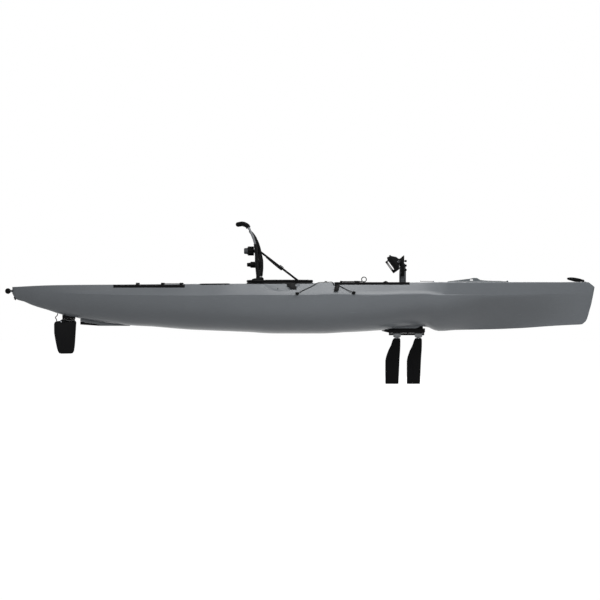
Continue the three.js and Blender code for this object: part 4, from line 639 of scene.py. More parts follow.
PIXEL = 0.008363
IMAGE_WIDTH = 600
SENSOR = 36
CAMERA_DISTANCE = 60
camera = bpy.data.objects.new("camera", bpy.data.cameras.new("camera"))
bpy.context.scene.collection.objects.link(camera)
camera.data.sensor_width = SENSOR
camera.data.lens = SENSOR * CAMERA_DISTANCE / (IMAGE_WIDTH * PIXEL)
camera.data.clip_end = 200
camera.location = (0.0021, -CAMERA_DISTANCE, 0.2802)
camera.rotation_euler = (math.pi / 2, 0, 0)
bpy.context.scene.camera = camera
bpy.context.scene.view_settings.view_transform = "Standard"


def area_lamp(name, place, towards, width, height, power):
    """A soft lamp that looks towards a point."""
    data = bpy.data.lights.new(name, "AREA")
    data.shape = "RECTANGLE"
    data.size, data.size_y, data.energy = width, height, power
    lamp = bpy.data.objects.new(name, data)
    lamp.location = place
    lamp.rotation_euler = (Vector(towards) - Vector(place)).to_track_quat("-Z", "Y").to_euler()
    bpy.context.scene.collection.objects.link(lamp)


area_lamp("overhead", (1.5, -2.4, 4.2), (1.2, 0, 0.3), 4.6, 1.4, 200)
area_lamp("near_side", (-1.5, -6.0, 2.6), (0, 0, 0.3), 6.0, 2.5, 70)
area_lamp("far_side", (1.0, 6.0, 2.6), (0, 0, 0.3), 6.0, 2.5, 110)


def seen_plainly(tree):
    """1 on the rays by which the ground and the backdrop are seen, also in gloss and through glass."""
    rays = linked(tree, "ShaderNodeLightPath").outputs
    direct = sum_up(tree, "MAXIMUM", rays["Is Camera Ray"], rays["Is Glossy Ray"])
    return sum_up(tree, "MAXIMUM", direct, rays["Is Transmission Ray"])


AMBIENT = 0.36
FLOOR_GLOW = 0.84
FLOOR_HEIGHT = cad_box[0].z - 0.004
WHITE = (1, 1, 1, 1)

world = bpy.data.worlds.new("studio")
bpy.context.scene.world = world
world.use_nodes = True
backdrop = world.node_tree.nodes["Background"]
level = linked(
    world.node_tree, "ShaderNodeMapRange",
    {"Value": seen_plainly(world.node_tree), "To Min": AMBIENT, "To Max": 1.0},
)
backdrop.inputs["Color"].default_value = WHITE
world.node_tree.links.new(level.outputs["Result"], backdrop.inputs["Strength"])

floor = settle(added(bpy.ops.mesh.primitive_plane_add, size=120, location=(0, 0, FLOOR_HEIGHT)))
floor.name = "floor"
floor_look = bpy.data.materials.new("pale_floor")
floor_look.use_nodes = True
ground = floor_look.node_tree.nodes["Principled BSDF"]
ground.inputs["Base Color"].default_value = (0.5, 0.5, 0.5, 1)
ground.inputs["Roughness"].default_value = 1.0
ground.inputs["Specular IOR Level"].default_value = 0.0
ground.inputs["Emission Color"].default_value = WHITE
glow = sum_up(floor_look.node_tree, "MULTIPLY", seen_plainly(floor_look.node_tree), FLOOR_GLOW)
floor_look.node_tree.links.new(glow, ground.inputs["Emission Strength"])
floor.data.materials.append(floor_look)


# Hull

STATIONS = 190
BOTTOM_STEPS = 18
TIP_RADIUS = 0.012
TIP_STEPS = (0.15, 0.4, 0.7, 1)
DECK_EDGE = 0.93
WALL = 0.006
CAVITY = (STERN_X + 0.07, STERN_X + 0.955 * HULL_LENGTH)
SIDE_DECK = 0.062
COCKPIT = {"aft": -0.56, "fore": 1.1, "floor": 0.12, "draft": 0.03}
CARGO = {"aft": -1.545, "fore": -0.96, "floor": 0.23, "draft": 0.02}
DRIVE_WELL = ((0.7, -0.052, -0.05), (1.036, 0.052, 0.125))
DRIVE_WELL_WALL = ((0.694, -0.058, -0.05), (1.042, 0.058, 0.13))
HATCH = {"aft": 1.242, "fore": 1.722, "half": 0.135}
HATCH_DECK = deck_height((HATCH["aft"] + HATCH["fore"]) / 2)
ROUND_HATCH_X = 0.42
DRAIN_X = -1.931
SCOOP = {"aft": -0.307, "fore": 0.002, "depth": 0.0085, "height": 0.66}

# Each gear track's aft end, its fore end and its rise over the deck, then what they share
COCKPIT_TRACK = (0.29, 0.914, 0.002)
STERN_TRACK = (-1.553, -0.951, -0.006)
TRACK_INSET = 0.002
TRACK_WIDTH = 0.03

# How far the narrow ledge over the crease steps in, along the length
LEDGE_SHARES = [
    (0, 0), (0.08, 0), (0.14, 0.004), (0.25, 0.003), (0.34, 0.001), (0.5, 0.001), (0.56, 0.005), (0.7, 0.009),
    (0.75, 0.006), (0.79, 0.001), (1, 0),
]


def tip_share(x):
    """Rounds the stem and the stern in plan."""
    reach = min(x - STERN_X, BOW_X - x)
    if reach >= TIP_RADIUS:
        return 1.0
    return math.sqrt(max(0.02, 1 - (1 - reach / TIP_RADIUS) ** 2))


def hull_ring(x, inset=0.0, tips=True):
    """The hull's section at a place: keel, bottom, crease and ledge, leaning face, rolled edge and deck."""
    keel, deck = keel_height(x) + inset, deck_height(x) - inset
    crease = keel + (deck - keel) * smooth_at(CREASE_SHARES, share_at(x))
    round_off = tip_share(x) if tips else 1.0
    beam = half_beam(x) * round_off - inset
    flat = min(KEEL_HALF, beam / 4)
    power, flare = smooth_at(ROUND_SHARES, share_at(x)), smooth_at(FLARE_SHARES, share_at(x))
    side = [(flat * 0.5, keel), (flat, keel)]
    for i in range(1, BOTTOM_STEPS + 1):
        turn = i / BOTTOM_STEPS * math.pi / 2
        out = math.sin(turn) ** (2 / flare)
        rise = 1 - max(0.0, math.cos(turn)) ** (2 / power)
        side.append((flat + (beam - flat) * out, keel + (crease - keel) * rise))
    edge = gunwale_half(x) * round_off - inset
    drop = min(EDGE_DROP, (deck - crease) / 2)
    foot, head = Vector((beam, crease)), Vector((edge, deck - drop))
    ledge = smooth_at(LEDGE_SHARES, share_at(x))
    first = foot + Vector((-ledge, ledge * 1.15))
    side.append(tuple(foot.lerp(first, 0.5)))
    side.append(tuple(first))
    for share in (0.3, 0.65, 0.93):
        side.append(tuple(first.lerp(head, share)))
    inner = Vector((edge * DECK_EDGE, deck))
    corner = Vector((edge, deck))
    for share in (0.0, 0.3, 0.6, 1.0):
        a, b = head.lerp(corner, share), corner.lerp(inner, share)
        side.append(tuple(a.lerp(b, share)))
    side.append((edge * 0.6, deck))
    side.append((edge * 0.25, deck))
    port = [Vector((x, y, z)) for y, z in side]
    return port + [Vector((x, -y, z)) for y, z in reversed(side)]


def hull_stations(low, high):
    """Where the sections lie: evenly, and at each change of the keel and of the tips."""
    places = [low + (high - low) * i / STATIONS for i in range(STATIONS + 1)]
    places += [STERN_X + s * HULL_LENGTH for s, _ in KEEL_SHARES]
    places += [STERN_X + TIP_RADIUS * k for k in TIP_STEPS]
    places += [BOW_X - TIP_RADIUS * k for k in TIP_STEPS]
    inside = sorted(p for p in places if low <= p <= high)
    return [p for i, p in enumerate(inside) if i == 0 or p - inside[i - 1] > 0.0015]


def oblong(aft, fore, half_at, power, count):
    """A rounded outline between two ends, whose half width half_at gives at each place."""
    middle, half = (aft + fore) / 2, (fore - aft) / 2
    points = []
    for i in range(count):
        turn = (i + 0.5) / count * math.tau
        c, s = math.cos(turn), math.sin(turn)
        x = middle + half * math.copysign(abs(c) ** (2 / power), c)
        points.append((x, half_at(x) * math.copysign(abs(s) ** (2 / power), s)))
    return points


def well_tool(well, grow=0.0, lip=0.01):
    """A well's own shape, with a rounded floor corner and a rounded lip, for cutting."""
    rings = []

    def ring(draft, height):
        outline = oblong(
            well["aft"] + draft - grow, well["fore"] - draft + grow,
            lambda x: gunwale_half(min(max(x, well["aft"]), well["fore"])) - SIDE_DECK - draft + grow, 6, 96,
        )
        rings.append([Vector((x, y, height(x))) for x, y in outline])

    floor_z, draft = well["floor"] - grow, well["draft"]
    corner = 0.03
    for k in range(5):
        turn = k / 4 * math.pi / 2
        ring(draft + corner * (1 - math.sin(turn)), lambda x, t=turn: floor_z + corner * (1 - math.cos(t)))
    ring(0.004, lambda x: deck_height(x) - lip * 2.5)
    for k in range(5):
        turn = k / 4 * math.pi / 2
        ring(-lip * (1 - math.cos(turn)), lambda x, t=turn: deck_height(x) - lip * (1 - math.sin(t)))
    ring(-lip, lambda x: deck_height(x) + 0.03)
    return skin(rings)


def track_line(aft, fore):
    """A track's distance from the middle at its aft end, and how it turns in along the deck edge."""
    aft_y = gunwale_half(aft) - TRACK_INSET - TRACK_WIDTH / 2
    fore_y = gunwale_half(fore) - TRACK_INSET - TRACK_WIDTH / 2
    return aft_y, math.atan2(fore_y - aft_y, fore - aft)


def track_top(aft, fore, rise):
    return max(deck_height(aft), deck_height((aft + fore) / 2)) + rise


def track_tool(aft, fore, rise, side):
    aft_y, turn = track_line(aft, fore)
    top = track_top(aft, fore, rise)
    piece = block((-0.0004, -0.0154, top - 0.0224), (fore - aft + 0.0004, 0.05, top + 0.4))
    piece.data.transform(Matrix.Translation((aft, aft_y, 0)) @ Matrix.Rotation(turn, 4, "Z"))
    return mirrored(piece) if side < 0 else piece


def scoop_tool(side):
    """The half-moon hand hold pressed into the side below the seat."""
    middle, half = (SCOOP["aft"] + SCOOP["fore"]) / 2, (SCOOP["fore"] - SCOOP["aft"]) / 2
    face = deck_height(middle) - crease_height(middle)
    height = SCOOP["height"] * face
    turns = [math.pi + k / 24 * math.pi for k in range(25)]
    rings = []
    for share, off, tilt in ((0.9, -0.0022, 1), (0.955, -0.0016, 0.8), (1.0, 0.0005, 0), (1.02, 0.02, 0)):
        ring = []
        for turn in turns:
            along, up = half * math.cos(turn), height * math.sin(turn)
            out = off + tilt * SCOOP["depth"] * up / height
            place = face_point(middle + along * share, 1 + (up * share) / face, out, side)
            if up > -1e-6:
                place.z += 0.02
            ring.append(place)
        rings.append(ring)
    return skin(rings)


def hatch_outline(grow, count=96):
    return oblong(HATCH["aft"] - grow, HATCH["fore"] + grow, lambda x: HATCH["half"] + grow, 3, count)


def prism(outline, low, high):
    return skin([[Vector((x, y, low)) for x, y in outline], [Vector((x, y, high)) for x, y in outline]])


def make_hull():
    """The hollow moulding, cut for its wells, tracks, hatches, drain and scoops."""
    hull = skin([hull_ring(x) for x in hull_stations(STERN_X, BOW_X)])
    cavity = skin([hull_ring(x, WALL, False) for x in hull_stations(*CAVITY)])
    cut(cavity, well_tool(COCKPIT, WALL, 0.0), well_tool(CARGO, WALL, 0.0), block(*DRIVE_WELL_WALL))
    tracks = [(track, side) for track in (COCKPIT_TRACK, STERN_TRACK) for side in (1, -1)]
    for (aft, fore, rise), side in tracks:
        cut(cavity, track_tool(aft - WALL, fore + WALL, rise - WALL, side))
    cut(cavity, block((0.104, 0.2, 0.386), (0.256, 0.3, 0.5)))
    for low_y, high_y in ((0.285, 0.5), (-0.5, -0.285)):
        cut(cavity, block((-0.32, low_y, 0.33), (0.015, high_y, 0.5)))
    cut(hull, cavity, well_tool(COCKPIT), well_tool(CARGO), block(*DRIVE_WELL))
    for (aft, fore, rise), side in tracks:
        cut(hull, track_tool(aft, fore, rise, side))
    edge = gunwale_half(0.18)
    cut(hull, block((0.11, edge - 0.09, 0.392), (0.25, edge - 0.037 + 0.0243, 0.5)))
    cut(hull, prism(hatch_outline(0), HATCH_DECK - 0.05, HATCH_DECK + 0.03))
    cut(hull, rod("z", 0.096, 0.1, 0.14, (ROUND_HATCH_X, 0, 0), 64))
    cut(hull, rod("z", 0.0108, 0.05, 0.237, (DRAIN_X, 0, 0), 24))
    cut(hull, scoop_tool(1), scoop_tool(-1))
    return shade(hull, 32)


hull = make_hull()
hand_in(hull, "hull_moulding", "hull", HULL_GREY, "hull_shell")


# Small pieces used in many places

CLOTH_STEPS = 20


def turned_closed(profile, axis, centre, steps=48):
    """A spun piece whose profile closes on itself."""
    return shade(turned(profile + profile[:1], axis, centre, steps), 35)


def dome_screw(place, radius=0.0035):
    """A pan-head screw with a cross in its head, standing on a deck."""
    head = turned(
        [(0, 0), (radius, 0), (radius, radius * 0.25), (radius * 0.7, radius * 0.6), (0, radius * 0.72)],
        "z", place, 14,
    )
    x, y, z = place
    high = z + radius
    low = z + radius * 0.35
    arm, half = radius * 0.6, radius * 0.13
    cut(head, block((x - arm, y - half, low), (x + arm, y + half, high)))
    cut(head, block((x - half, y - arm, low), (x + half, y + arm, high)))
    return head


def side_bolt(place, radius, reach, side=1):
    """A bolt head with a washer on a face that looks sideways."""
    washer = rod("y", radius * 1.35, 0, reach * 0.25, place, 20)
    head = rod("y", radius, reach * 0.2, reach, place, 6)
    bolt = soften(join([washer, head]), radius * 0.12, 1)
    if side < 0:
        bolt.data.transform(Matrix.Translation((0, 2 * place[1], 0)) @ OTHER_SIDE)
        outward(bolt)
    return bolt


def knot(place, radius):
    """A stopper knot: two turns of cord that cross."""
    turns = [
        settle(added(
            bpy.ops.mesh.primitive_torus_add, location=place, rotation=(tilt, roll, 0),
            major_radius=radius * 1.3, minor_radius=radius * 0.95, major_segments=18, minor_segments=8,
        ))
        for tilt, roll in ((0.5, 0.2), (-0.7, 1.3))
    ]
    return shade(join(turns), 60)


def end_knots(points, radius, name):
    knots = join([knot(points[0], radius), knot(points[-1], radius)])
    hand_in(knots, name, "hull", BRAID)


def bar(outline, plane, low, high, width, segments=2):
    """A flat outline pushed out, with its edges rounded."""
    return soften(plate(outline, plane, low, high), width, segments)


def pair(piece, name, look, bodies=("hull", "hull"), node=None):
    """Hands a port piece in, and its copy on the other side."""
    twin = to_other_side(piece)
    for each, body, side in ((piece, bodies[0], "_port"), (twin, bodies[1], "_starboard")):
        hand_in(each, name + side, body, look, *([node + side] if node else []))


def swell(piece, voxel, cap, pressure=4.0):
    """Fills a fabric piece with a cloth simulation, and caps how far any point moves."""
    modify(piece, "REMESH", mode="VOXEL", voxel_size=voxel)
    start = [vertex.co.copy() for vertex in piece.data.vertices]
    choose(piece)
    cloth = piece.modifiers.new("Cloth", "CLOTH")
    cloth.settings.use_pressure = True
    cloth.settings.uniform_pressure_force = pressure
    cloth.settings.effector_weights.gravity = 0
    cloth.settings.quality = 4
    cloth.point_cache.frame_start, cloth.point_cache.frame_end = 1, CLOTH_STEPS
    for step in range(1, CLOTH_STEPS + 1):
        bpy.context.scene.frame_set(step)
    bpy.ops.object.modifier_apply(modifier=cloth.name)
    for vertex, first in zip(piece.data.vertices, start):
        move = vertex.co - first
        if move.length > cap:
            vertex.co = first + move.normalized() * cap
    bpy.context.scene.frame_set(1)
    modify(piece, "SMOOTH", factor=0.5, iterations=3)
    return shade(modify(piece, "SUBSURF", levels=1, render_levels=1), 60)


def straight_at(rows, place):
    """Straight lines through [place, value] rows."""
    for (a, low), (b, high) in zip(rows, rows[1:]):
        if place <= b:
            return low + (high - low) * (place - a) / (b - a)
    return rows[-1][1]


def pressed_seam(piece, near, depth, width):
    """Draws a sewn channel into a padded piece. near gives a point's distance from the seam."""
    pushes = []
    for vertex in piece.data.vertices:
        away = abs(near(vertex.co))
        if away < width:
            pushes.append((vertex, vertex.normal * (-depth * 0.5 * (1 + math.cos(math.pi * away / width)))))
    for vertex, push in pushes:
        vertex.co += push


def slant_mount(piece, side):
    """Cuts the seat mount's hanging tab to a slanted strap hook."""
    aft, fore, bottom = -0.103, -0.027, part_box("seat_mount_port")[0].z
    aft_corner = [
        (aft - 0.02, bottom - 0.02), (aft - 0.02, bottom + 0.04), (aft + 0.004, bottom + 0.026),
        (fore - 0.03, bottom - 0.002), (fore - 0.03, bottom - 0.02),
    ]
    fore_corner = [
        (fore + 0.02, bottom + 0.02), (fore + 0.001, bottom + 0.026), (fore - 0.024, bottom + 0.0465),
        (fore + 0.02, bottom + 0.0465),
    ]
    for outline in (aft_corner, fore_corner):
        cut(piece, plate(outline, "xz", *sorted((side * 0.26, side * 0.42))))


# Every other hard piece starts from its solid and gets rounded edges

ROUNDED = {
    "skeg_keel": 0.004, "keel_wear_pad": 0.003, "drain_plug": 0.0012, "bow_hatch_rim": 0.001,
    "bow_hatch_lid": 0.0015, "bow_hatch_latch": 0.001, "round_hatch_rim": 0.0015, "bow_handle_base": 0.001,
    "cockpit_track_port": 0.0008, "cockpit_track_starboard": 0.0008, "stern_track_port": 0.0008,
    "stern_track_starboard": 0.0008, "paddle_eye_aft": 0.001, "paddle_eye_fore": 0.001,
    "paddle_hook": 0.003, "rudder_housing": 0.004, "rudder_head": 0.0015, "rudder_blade": 0.002,
    "lift_line_cleat": 0.001, "steering_base": 0.0012, "steering_handle": 0.003, "seat_mount_port": 0.0012,
    "seat_mount_starboard": 0.0012, "drive_spine": 0.003, "drive_latch_port": 0.002,
    "drive_latch_starboard": 0.002,
}
for node, width in ROUNDED.items():
    piece = from_solid(node)
    if node.startswith("seat_mount"):
        slant_mount(piece, 1 if node.endswith("port") else -1)
    soften(piece, width)
    # The bow hatch lid takes the darker copy of the hull grey, which is painted shade.
    look = LID_PAINTED_SHADE_GREY if node == "bow_hatch_lid" else SLOT_LOOKS[SLOT_OF[node]]
    hand_in(piece, node + "_detail", BODY_OF[node], look, node)


# Deck fittings

STERN_PIN = (STERN_X - 0.0103, 0.355)


def half_round(x, z, radius, start=0.0):
    """Nine points on half a circle."""
    turns = [start + k * math.pi / 8 for k in range(9)]
    return [(x + radius * math.cos(turn), z + radius * math.sin(turn)) for turn in turns]


def deck_lug(x, y, z, thick, radius):
    """A lug that stands on the deck and is round about its pin."""
    foot = deck_height(x) - 0.002
    outline = [(x - radius, foot), (x + radius, foot)] + half_round(x, z, radius)
    return bar(outline, "xz", y, y + thick, 0.0008)


def deck_lugs():
    """The lugs of the bow hatch's hinge and of its latch, and the latch's pin."""
    hinge_x, hinge_z, latch_x, latch_z = 1.7363, 0.4363, 1.118, 0.43498
    lugs = [deck_lug(hinge_x, y, hinge_z, 0.008, 0.006) for y in (0.0603, -0.0683)]
    lugs += [deck_lug(latch_x, y, latch_z, 0.005, 0.005) for y in (0.0123, -0.0173)]
    hand_in(join(lugs), "deck_lugs", "hull", HULL_GREY)
    half_pin = [(0, 0.0175), (0.0032, 0.0175), (0.0036, 0.0168), (0.0025, 0.016)]
    hand_in(turned_closed(both_ways(half_pin), "y", (latch_x, 0, latch_z), 20), "latch_pin", "hull", STEEL)


def stern_lug():
    (x, z), r = STERN_PIN, 0.01
    outline = [(STERN_X + 0.006, z - r), (STERN_X + 0.006, z + r)] + half_round(x, z, r, math.pi / 2)
    hand_in(bar(outline, "xz", -0.005, 0.005, 0.001), "stern_lug", "hull", HULL_GREY)


def floor_ribs():
    """Raised bars on the cockpit floor where the heels rest."""
    ribs = []
    for x in (0.15, 0.19, 0.23, 0.27, 0.56, 0.6, 0.64):
        for y in (-0.16, 0.06):
            outline = oblong(x, x + 0.014, lambda q: 0.05, 5, 20)
            rib = prism([(a, b + y + 0.05) for a, b in outline], 0.1195, 0.1235)
            ribs.append(soften(rib, 0.0014, 2))
    hand_in(join(ribs), "cockpit_floor_ribs", "hull", HULL_GREY)


def hatch_seal():
    line = [Vector((x, y, HATCH_DECK + 0.0007)) for x, y in hatch_outline(0.0062, 72)]
    hand_in(tube(line, 0.0011, 144, 8, True), "bow_hatch_seal", "hull", BLACK_RUBBER)


def edge_strips():
    """Rubber strips along the deck edge between the cargo well and the seat."""
    aft, length = -0.834, 0.251
    rings = []
    for k in range(13):
        x = aft + length * k / 12
        end = min(1.0, min(k, 12 - k) + 0.35)
        out, deck = gunwale_half(x), deck_height(x)
        rise, reach = 0.0022 * end, 0.009 * end
        rings.append([
            Vector((x, out + rise * 0.8, deck - 0.011)), Vector((x, out + rise, deck - 0.005)),
            Vector((x, out * 0.995, deck + rise * 0.4)), Vector((x, out * 0.93 - reach, deck + rise)),
            Vector((x, out * 0.93 - reach, deck + 0.0001)), Vector((x, out - 0.002, deck - 0.005)),
            Vector((x, out - 0.002, deck - 0.011)),
        ])
    pair(soften(skin(rings), 0.0006, 1), "deck_edge_strip", BLACK_RUBBER)


def track_screws():
    screws = []
    for aft, fore, rise in (COCKPIT_TRACK, STERN_TRACK):
        aft_y, turn = track_line(aft, fore)
        top = track_top(aft, fore, rise)
        for k in range(6):
            along = (fore - aft) * (k + 0.5) / 6
            place = (aft + along * math.cos(turn), aft_y + along * math.sin(turn), top - 0.012)
            screws.append(dome_screw(place, 0.0038))
    pair(join(screws), "track_screws", STEEL)


def round_lid():
    """The twist lid: a shallow dish with a rolled edge, two rings, a grip bar across and nubs round it."""
    x, base = ROUND_HATCH_X, 0.1163
    low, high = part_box("round_hatch_lid")
    foot = low.z
    lid = turned_closed(
        [(0, base), (0.092, base), (0.0985, base), (0.104, base + 0.0012), (0.104, base + 0.006),
         (0.1025, base + 0.0085), (0.098, base + 0.0097), (0.09, base + 0.0097), (0.087, base + 0.0072),
         (0.07, base + 0.0066), (0.0685, base + 0.0084), (0.065, base + 0.0084), (0.0635, base + 0.0062),
         (0, base + 0.0056)],
        "z", (x, 0, 0), 72,
    )
    lid.data.transform(Matrix.Translation((0, 0, foot - base)))
    lobe = [
        (x + 0.058 * math.cos(a), 0.0085 * math.sin(a) * (1.25 - 0.25 * math.cos(2 * a)))
        for a in round_steps(28)
    ]
    grip = bar(lobe, "xy", foot + 0.004, high.z, 0.003, 3)
    nubs = []
    for a in round_steps(24):
        corners = [(0.1035, -0.035), (0.1035, 0.035), (0.0985, 0.03), (0.0985, -0.03)]
        outline = [(x + r * math.cos(a + d), r * math.sin(a + d)) for r, d in corners]
        nubs.append(bar(outline, "xy", foot + 0.006, foot + 0.0108, 0.0008, 1))
    hand_in(
        join([lid, grip, *nubs]), "round_hatch_cover", BODY_OF["round_hatch_lid"], BLACK_PLASTIC,
        "round_hatch_lid",
    )


def track_stop():
    """A sliding stop in the starboard cockpit track."""
    aft, fore, rise = COCKPIT_TRACK
    aft_y, turn = track_line(aft, fore)
    x, top = 0.715, track_top(aft, fore, rise)
    y = -(aft_y + (x - aft) * math.tan(turn))
    foot = [(x - 0.02, top), (x + 0.02, top), (x + 0.016, top + 0.0055), (x - 0.016, top + 0.0055)]
    button = [(0, 0), (0.0085, 0), (0.0085, 0.0035), (0.0065, 0.0045), (0, 0.0045)]
    stop = join(
        [bar(foot, "xz", y - 0.009, y + 0.009, 0.0015), turned(button, "z", (x, y, top + 0.0052), 20)]
    )
    hand_in(stop, "track_sliding_stop", "hull", BLACK_PLASTIC)


def scoop_screw():
    place = face_point(-0.184, 0.6, -0.005)
    screw = turned(
        [(0, 0.003), (0.0028, 0.0026), (0.004, 0.0012), (0.0042, -0.001), (0, -0.001)], "y", (0, 0, 0), 16
    )
    screw.data.transform(Matrix.Translation(place) @ OTHER_SIDE)
    outward(screw)
    hand_in(join([screw, to_other_side(screw)]), "scoop_screws", "hull", BLACK_PLASTIC)


deck_lugs()
track_stop()
scoop_screw()
stern_lug()
floor_ribs()
hatch_seal()
edge_strips()
track_screws()
round_lid()


# Handles

BOW_PIN = (2.372, 0.442)
BOW_LEAF_SHARES = [
    (1, 0.81), (0.88, 1), (0.64, 1), (0.33, 0.76), (0.09, 0.42), (-0.044, 0.22), (-0.062, 0), (-0.035, -0.24),
    (0.1, -0.31), (0.17, -0.4), (0.4, -0.4), (0.58, -0.28), (0.76, -0.01), (0.98, 0.36),
]
BOW_LENGTH, BOW_CREST, BOW_HALF = 0.136, 0.027, 0.015


def bow_grip():
    """A leaf-shaped grip with rounded edges, and the screws on its base."""
    x, z = BOW_PIN
    points = [(x - BOW_LENGTH * a, 0, z + BOW_CREST * u) for a, u in BOW_LEAF_SHARES]
    line = curve_points(points, 70, True)
    grip = plate([(p.x, p.z) for p in line], "xz", -BOW_HALF, BOW_HALF)
    soften(grip, 0.006, 4, 50, 45)
    hand_in(grip, "bow_grip_leaf", BODY_OF["bow_handle"], BLACK_RUBBER, "bow_handle")
    screws = [
        dome_screw((x + shift, y, 0.4328), 0.0032) for shift in (-0.01, 0.018) for y in (-0.0095, 0.0095)
    ]
    hand_in(join(screws), "bow_base_screws", "hull", STEEL)


def stern_grip():
    """An egg-shaped toggle on two cheeks."""
    x, z = STERN_PIN
    far = x - 0.026
    half_egg = [(0, 0.046), (0.011, 0.0455), (0.0175, 0.042), (0.0215, 0.033), (0.0235, 0.02), (0.024, 0.007)]
    grip = turned(both_ways(half_egg), "y", (far, 0, z), 40)
    r = 0.0094
    cheek_line = [
        (x + r * 0.7, z - r * 0.7), (x + r, z), (x + r * 0.7, z + r * 0.7), (far + 0.008, z + 0.018),
        (far, z + 0.021), (far, z - 0.021), (far + 0.008, z - 0.018),
    ]
    cheeks = [plate(cheek_line, "xz", low, high) for low, high in ((0.0054, 0.0124), (-0.0124, -0.0054))]
    grip = add_solid(grip, *cheeks)
    cut(grip, block((x - 0.0106, -0.0054, z - 0.03), (x + r + 0.001, 0.0054, z + 0.03)))
    soften(grip, 0.0012, 2, 40)
    hand_in(grip, "stern_toggle", BODY_OF["stern_handle"], BLACK_RUBBER, "stern_handle")
    half_pin = [(0, 0.0135), (0.0045, 0.0135), (0.0052, 0.0128), (0.004, 0.0122)]
    pin = turned_closed(both_ways(half_pin), "y", (x, 0, z), 20)
    hand_in(pin, "stern_toggle_pin", BODY_OF["stern_handle"], STEEL)


bow_grip()
stern_grip()


# Bungees and lines, routed as their solids are

GAP = 0.0003
CORD = 0.0025
BLADE_PIVOT = (-1.995, 0, 0.1)
STERN_LENGTH = STERN_TRACK[1] - STERN_TRACK[0]
STERN_SPREAD = (gunwale_half(STERN_TRACK[1]) - gunwale_half(STERN_TRACK[0])) / STERN_LENGTH
LUG_WIDTH = 0.01
SAG = 0.009


def eye_feet():
    """The eyes' feet, which reach in to the leaning side."""
    feet = []
    for node in ("paddle_eye_aft", "paddle_eye_fore"):
        low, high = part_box(node)
        x, z = (low[0] + high[0]) / 2, (low[2] + high[2]) / 2
        feet.append(rod("y", 0.0085, high[1] - 0.003, high[1] + 0.014, (x, 0, z), 24))
    hand_in(join(feet), "paddle_eye_feet", "hull", BLACK_PLASTIC)


def cargo_cord():
    z, w = track_top(*STERN_TRACK) + 0.012, LUG_WIDTH

    def at(x, side, out, down=0.0):
        middle = gunwale_half(STERN_TRACK[0]) + STERN_SPREAD * (x - STERN_TRACK[0])
        return (x - out * STERN_SPREAD, side * (middle - TRACK_INSET - TRACK_WIDTH + w / 2 + out), z - down)

    a, b, c = (STERN_TRACK[0] + reach for reach in (0.199, 0.41, 0.568))
    points = [
        at(a, 1, w), at(a, 1, 0), at(a, 1, -1.2 * w), at(a + w, 1, -4 * w, SAG),
        at(b - w, -1, -4 * w, SAG), at(b, -1, -1.2 * w), at(b, -1, 0), at(b, -1, 0.7 * w),
        at(b + 0.5 * w, -1, 1.5 * w), at(c - 0.5 * w, -1, 1.5 * w), at(c, -1, 0.7 * w), at(c, -1, 0),
        at(c, -1, -1.2 * w), at(c - w, -1, -4 * w, SAG),
        at(b + w, 1, -4 * w, SAG), at(b, 1, -1.2 * w), at(b, 1, 0), at(b, 1, w),
    ]
    hand_in(tube(points, CORD, 150, 12), "cargo_bungee_cord", "hull", BRAID, "cargo_bungee")
    end_knots(points, 0.0034, "cargo_bungee_knots")


EYE_AFT, EYE_FORE, EYE_LEVEL = -0.019, 0.447, 0.7888


def eye_rise(x):
    """How far up the leaning face an eye sits."""
    share = smooth_at(CREASE_SHARES, share_at(x))
    return (EYE_LEVEL - share) / (1 - share)


def paddle_cord():
    """The paddle's bungee, from eye to eye over the deck edge, and the stud beside it."""

    def deck_y(x):
        return -(gunwale_half(x) * DECK_EDGE - 0.02)

    def on_deck(x, out, up):
        return (x, deck_y(x) - out, deck_height(x) + up)

    through, aft_rise, fore_rise = 0.0125, eye_rise(EYE_AFT), eye_rise(EYE_FORE)
    points = [
        face_point(EYE_AFT - 0.009, aft_rise - 0.03, through), face_point(EYE_AFT, aft_rise, through),
        face_point(EYE_AFT + 0.011, aft_rise + 0.05, through - 0.001),
        face_point(EYE_AFT + 0.034, 0.32, 0.007), face_point(0.09, 0.7, 0.004), face_point(0.14, 1, 0.005),
        on_deck(0.172, 0.018, 0.004), on_deck(0.2, 0.008, CORD + GAP), on_deck(0.235, 0.008, CORD + GAP),
        on_deck(0.262, 0.02, 0.004), face_point(0.276, 1, 0.006), face_point(0.286, 0.82, 0.0045),
        face_point(0.31, 0.78, 0.0045), face_point(0.34, 0.68, 0.0045), face_point(0.375, 0.5, 0.0045),
        face_point(EYE_FORE - 0.034, 0.3, 0.007),
        face_point(EYE_FORE - 0.011, fore_rise + 0.05, through - 0.001),
        face_point(EYE_FORE, fore_rise, through), face_point(EYE_FORE + 0.009, fore_rise - 0.02, through),
    ]
    hand_in(tube(points, CORD, 150, 12), "paddle_bungee_cord", "hull", BRAID, "paddle_bungee")
    end_knots(points, 0.0046, "paddle_bungee_knots")
    x = 0.217
    stud = turned(
        [(0, 0.012), (0.01, 0.0116), (0.0135, 0.0098), (0.0125, 0.0078), (0.006, 0.007), (0.006, 0.001),
         (0.015, 0.0008), (0.0155, -0.001), (0, -0.001)], "z", (x, deck_y(x) + 0.004, deck_height(x)), 28,
    )
    hand_in(shade(stud, 40), "deck_stud", "hull", BLACK_PLASTIC)


